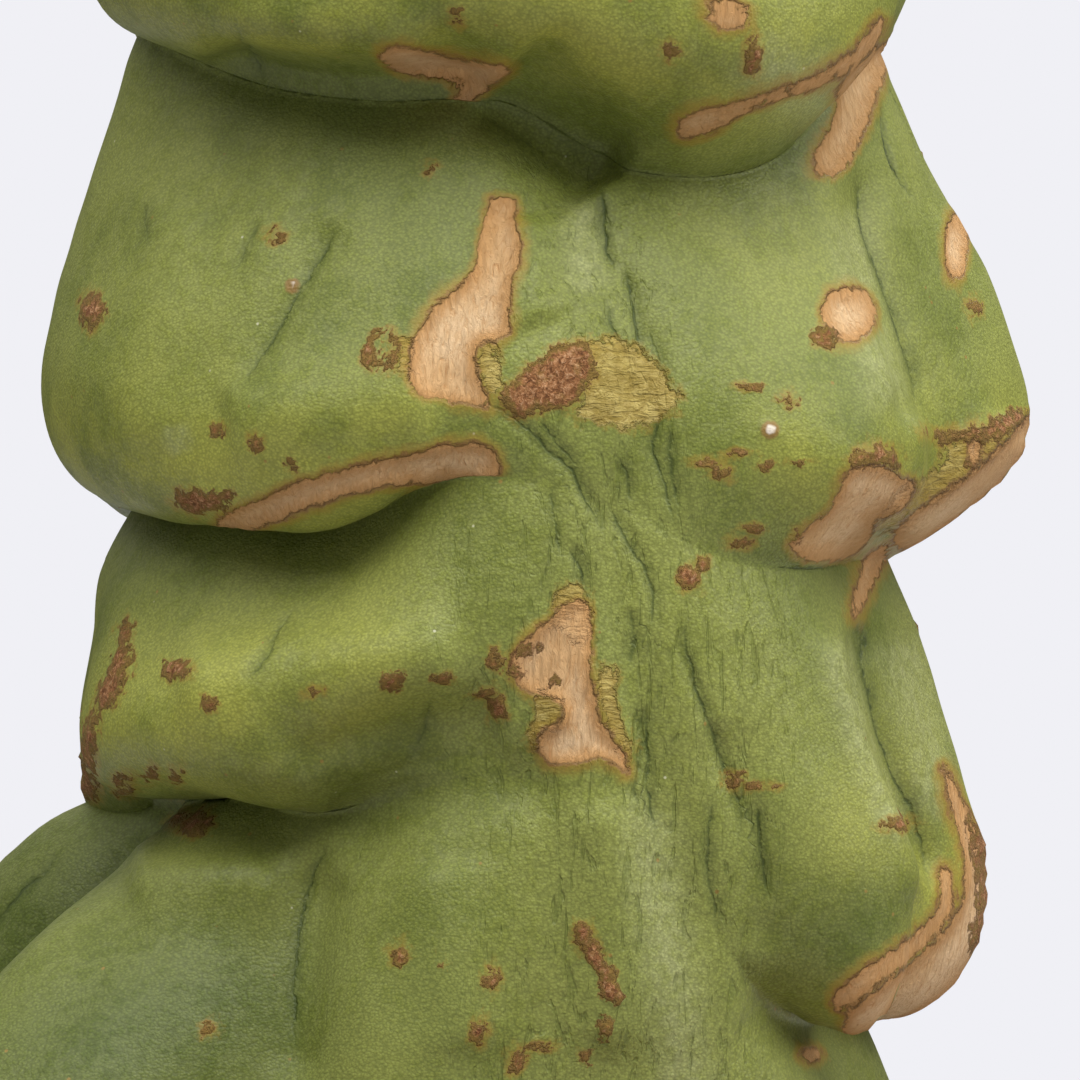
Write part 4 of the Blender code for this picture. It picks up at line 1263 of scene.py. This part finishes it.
def make_pot(shade):
    collar_low = POT_HEIGHT - COLLAR_HEIGHT
    groove = collar_low + 5.0
    corners = [
        (RIM_RADIUS, POT_HEIGHT),
        (RIM_RADIUS - 0.3, groove + 1.6),
        (RIM_RADIUS - 1.2, groove),
        (RIM_RADIUS - 0.5, groove - 1.6),
        (RIM_RADIUS - COLLAR_DRAFT, collar_low),
        (body_radius(collar_low), collar_low),
        (body_radius(0), 0),
        (DRAIN_RADIUS, 0),
        (DRAIN_RADIUS, POT_FLOOR),
        (inner_radius(POT_FLOOR), POT_FLOOR),
        (inner_radius(POT_HEIGHT), POT_HEIGHT),
    ]
    build = turned(corners, POT_STEPS, 3.0)
    for ring in (
        (RIM_RADIUS, POT_HEIGHT, RIM_ROUND, 5),
        (inner_radius(POT_HEIGHT), POT_HEIGHT, RIM_ROUND, 5),
        (RIM_RADIUS - COLLAR_DRAFT, collar_low, 1.4, 3),
        (body_radius(collar_low), collar_low, 1.0, 3),
        (body_radius(0), 0, 1.8, 3),
        (DRAIN_RADIUS, 0, 1.2, 2),
    ):
        soften_ring(build, *ring)
    worn = build.verts.layers.float.new("worn")
    for v in build.verts:
        x, y, z = v.co / MM
        radius = math.hypot(x, y)
        outward = Vector((x, y, 0)).normalized()
        wobble = POT_WOBBLE * noise.noise(Vector((x / 45, y / 45, z / 60)))
        ridge = POT_RIDGES * noise.noise(Vector((x / 90, y / 90, z / 2.4)))
        rim = smooth_step(3.2, 0.4, POT_HEIGHT - z)
        foot = smooth_step(3.0, 0.4, z) * smooth_step(50, 54, radius)
        collar = smooth_step(1.8, 0.3, abs(z - collar_low)) * smooth_step(80, 81.5, radius)
        patch = noise.noise(Vector((x / 6.5, y / 6.5, z / 6.5)) + Vector((5, 0, 2)))
        chip = smooth_step(0.28, 0.55, patch)
        edge = max(rim, foot, collar)
        v[worn] = float(edge * (0.35 + 0.65 * chip))
        if radius > DRAIN_RADIUS + 3 and z > 0.4:
            v.co += outward * (wobble + ridge - 0.7 * edge * chip) * MM
        if rim > 0:
            v.co.z -= float(0.6 * rim * chip) * MM
    for face in build.faces:
        face.smooth = True
    pot = finished(build, "flowerpot", shade)
    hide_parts("pot")


def make_grit(shade):
    """A bed of fine grit from the stem to the pot's wall, with loose stones half sunk in it."""
    top = GRIT_TOP / MM - GRIT_SUNK
    bottom = GRIT_TOP / MM - GRIT_DEPTH
    hole = NECK_RADIUS + FIT_GAP
    bed_reach = inner_radius(top) - FIT_GAP
    low_reach = inner_radius(bottom) - FIT_GAP
    corners = [(hole, top), (bed_reach, top), (low_reach, bottom), (hole, bottom)]
    build = turned(corners, GRIT_STEPS, 2.2)
    stone = build.verts.layers.float.new("stone")
    for v in build.verts:
        v[stone] = 0.25 + 0.2 * noise.noise(v.co / (2.5 * MM))
        if v.co.z / MM > top - 0.1:
            v.co.z += 0.8 * MM * noise.noise(v.co / (3.2 * MM))

    chance = random.Random(7)
    spots = []
    while len(spots) < GRIT_STONES:
        smallest, largest = STONE_SIZES
        size = smallest + (largest - smallest) * chance.random() ** 1.6
        reach = math.sqrt(chance.uniform((hole + 1.2) ** 2, (bed_reach - 1.4) ** 2))
        turn = chance.uniform(0, 2 * math.pi)
        if hole + 0.7 * size < reach < bed_reach - 0.9 * size:
            spots.append((reach * math.cos(turn), reach * math.sin(turn), size))
    for x, y, size in spots:
        made = bmesh.ops.create_icosphere(build, subdivisions=1, radius=1.0)["verts"]
        colour = chance.random()
        half = Vector((size, size * chance.uniform(0.65, 0.95), size * chance.uniform(0.5, 0.8)))
        turn = Matrix.Rotation(chance.uniform(0, 6.3), 3, "Z")
        turn = turn @ Matrix.Rotation(chance.gauss(0, 0.45), 3, "X")
        lift = top + half.z * chance.uniform(0.2, 0.9)
        for v in made:
            v[stone] = colour
            jag = v.co * chance.uniform(0.80, 1.16)
            v.co = (turn @ Vector(a * b for a, b in zip(jag, half)) + Vector((x, y, lift))) * MM
    dressing = finished(build, "grit_dressing", shade)
    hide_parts("grit_top_dressing")


# ---------------------------------------------------------------- stage

FLOOR_RADIUS = 1.7
CAMERA_PLACE = (0.0, -EYE_DISTANCE * MM, GRIT_TOP + EYE_HEIGHT * MM)
VIEW_WIDTH = 86.4  # width that the view takes in at the stem's axis
SENSOR = 36.0
BACKDROP = (0.871, 0.871, 0.913, 1)
LIGHT_FROM_BELOW = 0.04
STEM_MIDDLE = (0, 0, GRIT_TOP + EYE_HEIGHT * MM)
LIGHTS = (
    ("soft_front", (0.25, -1.0, 1.5), (1.2, 0.8), 20.5),
    ("soft_top", (0.2, -0.1, 1.7), (1.2, 1.2), 14),
    ("soft_right", (1.3, -0.3, 0.9), (0.8, 1.0), 11),
    ("soft_left", (-0.9, -0.6, 1.5), (0.8, 0.8), 8.5),
    ("soft_back", (0.5, 1.1, 1.4), (0.8, 0.8), 7),
)


def make_floor():
    build = bmesh.new()
    bmesh.ops.create_circle(build, cap_ends=True, segments=96, radius=FLOOR_RADIUS)
    paper = Finish("paper_floor", 0.9, specular=0.1)
    away = paper.put("VectorMath", {"operation": "LENGTH"}, Vector=paper.place).outputs["Value"]
    paper.feed(paper.shader.inputs["Alpha"], paper.step(away, 0.5, FLOOR_RADIUS - 0.1, 1, 0))
    paper.ground(paper.noise(300, 2), PAPER_DARK, PAPER_LIGHT)
    mesh = bpy.data.meshes.new("paper_floor")
    build.to_mesh(mesh)
    build.free()
    mesh.materials.append(paper.done())
    link(mesh, "paper_floor")


def make_camera():
    lens = bpy.data.cameras.new("camera")
    lens.sensor_width = SENSOR
    lens.lens = SENSOR * EYE_DISTANCE / VIEW_WIDTH
    lens.clip_start = 0.01
    camera = bpy.data.objects.new("camera", lens)
    camera.location = CAMERA_PLACE
    camera.rotation_euler = (math.pi / 2, 0, 0)
    bpy.context.scene.collection.objects.link(camera)
    bpy.context.scene.camera = camera


def make_light(name, place, size, power):
    lamp = bpy.data.lights.new(name, "AREA")
    lamp.shape = "RECTANGLE"
    lamp.size, lamp.size_y = size
    lamp.energy = power
    light = bpy.data.objects.new(name, lamp)
    light.location = place
    aim = Vector(STEM_MIDDLE) - Vector(place)
    light.rotation_euler = aim.to_track_quat("-Z", "Y").to_euler()
    bpy.context.scene.collection.objects.link(light)


def make_world():
    """White studio surroundings, brighter above than below."""
    world = bpy.data.worlds.new("studio")
    world.use_nodes = True
    bpy.context.scene.world = world
    tree = world.node_tree
    backdrop = tree.nodes["Background"]
    backdrop.inputs["Color"].default_value = BACKDROP
    around = tree.nodes.new("ShaderNodeBackground")
    direction = tree.nodes.new("ShaderNodeTexCoord")
    split = tree.nodes.new("ShaderNodeSeparateXYZ")
    ramp = tree.nodes.new("ShaderNodeMapRange")
    ramp.inputs["To Min"].default_value = LIGHT_FROM_BELOW
    rays = tree.nodes.new("ShaderNodeLightPath")
    mix = tree.nodes.new("ShaderNodeMixShader")
    tree.links.new(direction.outputs["Generated"], split.inputs[0])
    tree.links.new(split.outputs["Z"], ramp.inputs["Value"])
    tree.links.new(ramp.outputs[0], around.inputs["Strength"])
    tree.links.new(rays.outputs["Is Camera Ray"], mix.inputs[0])
    tree.links.new(around.outputs[0], mix.inputs[1])
    tree.links.new(backdrop.outputs[0], mix.inputs[2])
    tree.links.new(mix.outputs[0], tree.nodes["World Output"].inputs["Surface"])


make_stem(skin_finish())
make_pot(clay_finish())
make_grit(grit_finish())
for node, slot, shade in (
    ("crock_shard", "crock", shard_finish()),
    ("drainage_gravel", "gravel", gravel_finish()),
    ("potting_soil", "soil", soil_finish()),
):
    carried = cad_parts[node]
    carried.data.materials.clear()
    carried.data.materials.append(shade)

make_floor()
make_camera()
make_world()
for light in LIGHTS:
    make_light(*light)
bpy.context.scene.view_settings.view_transform = "Standard"
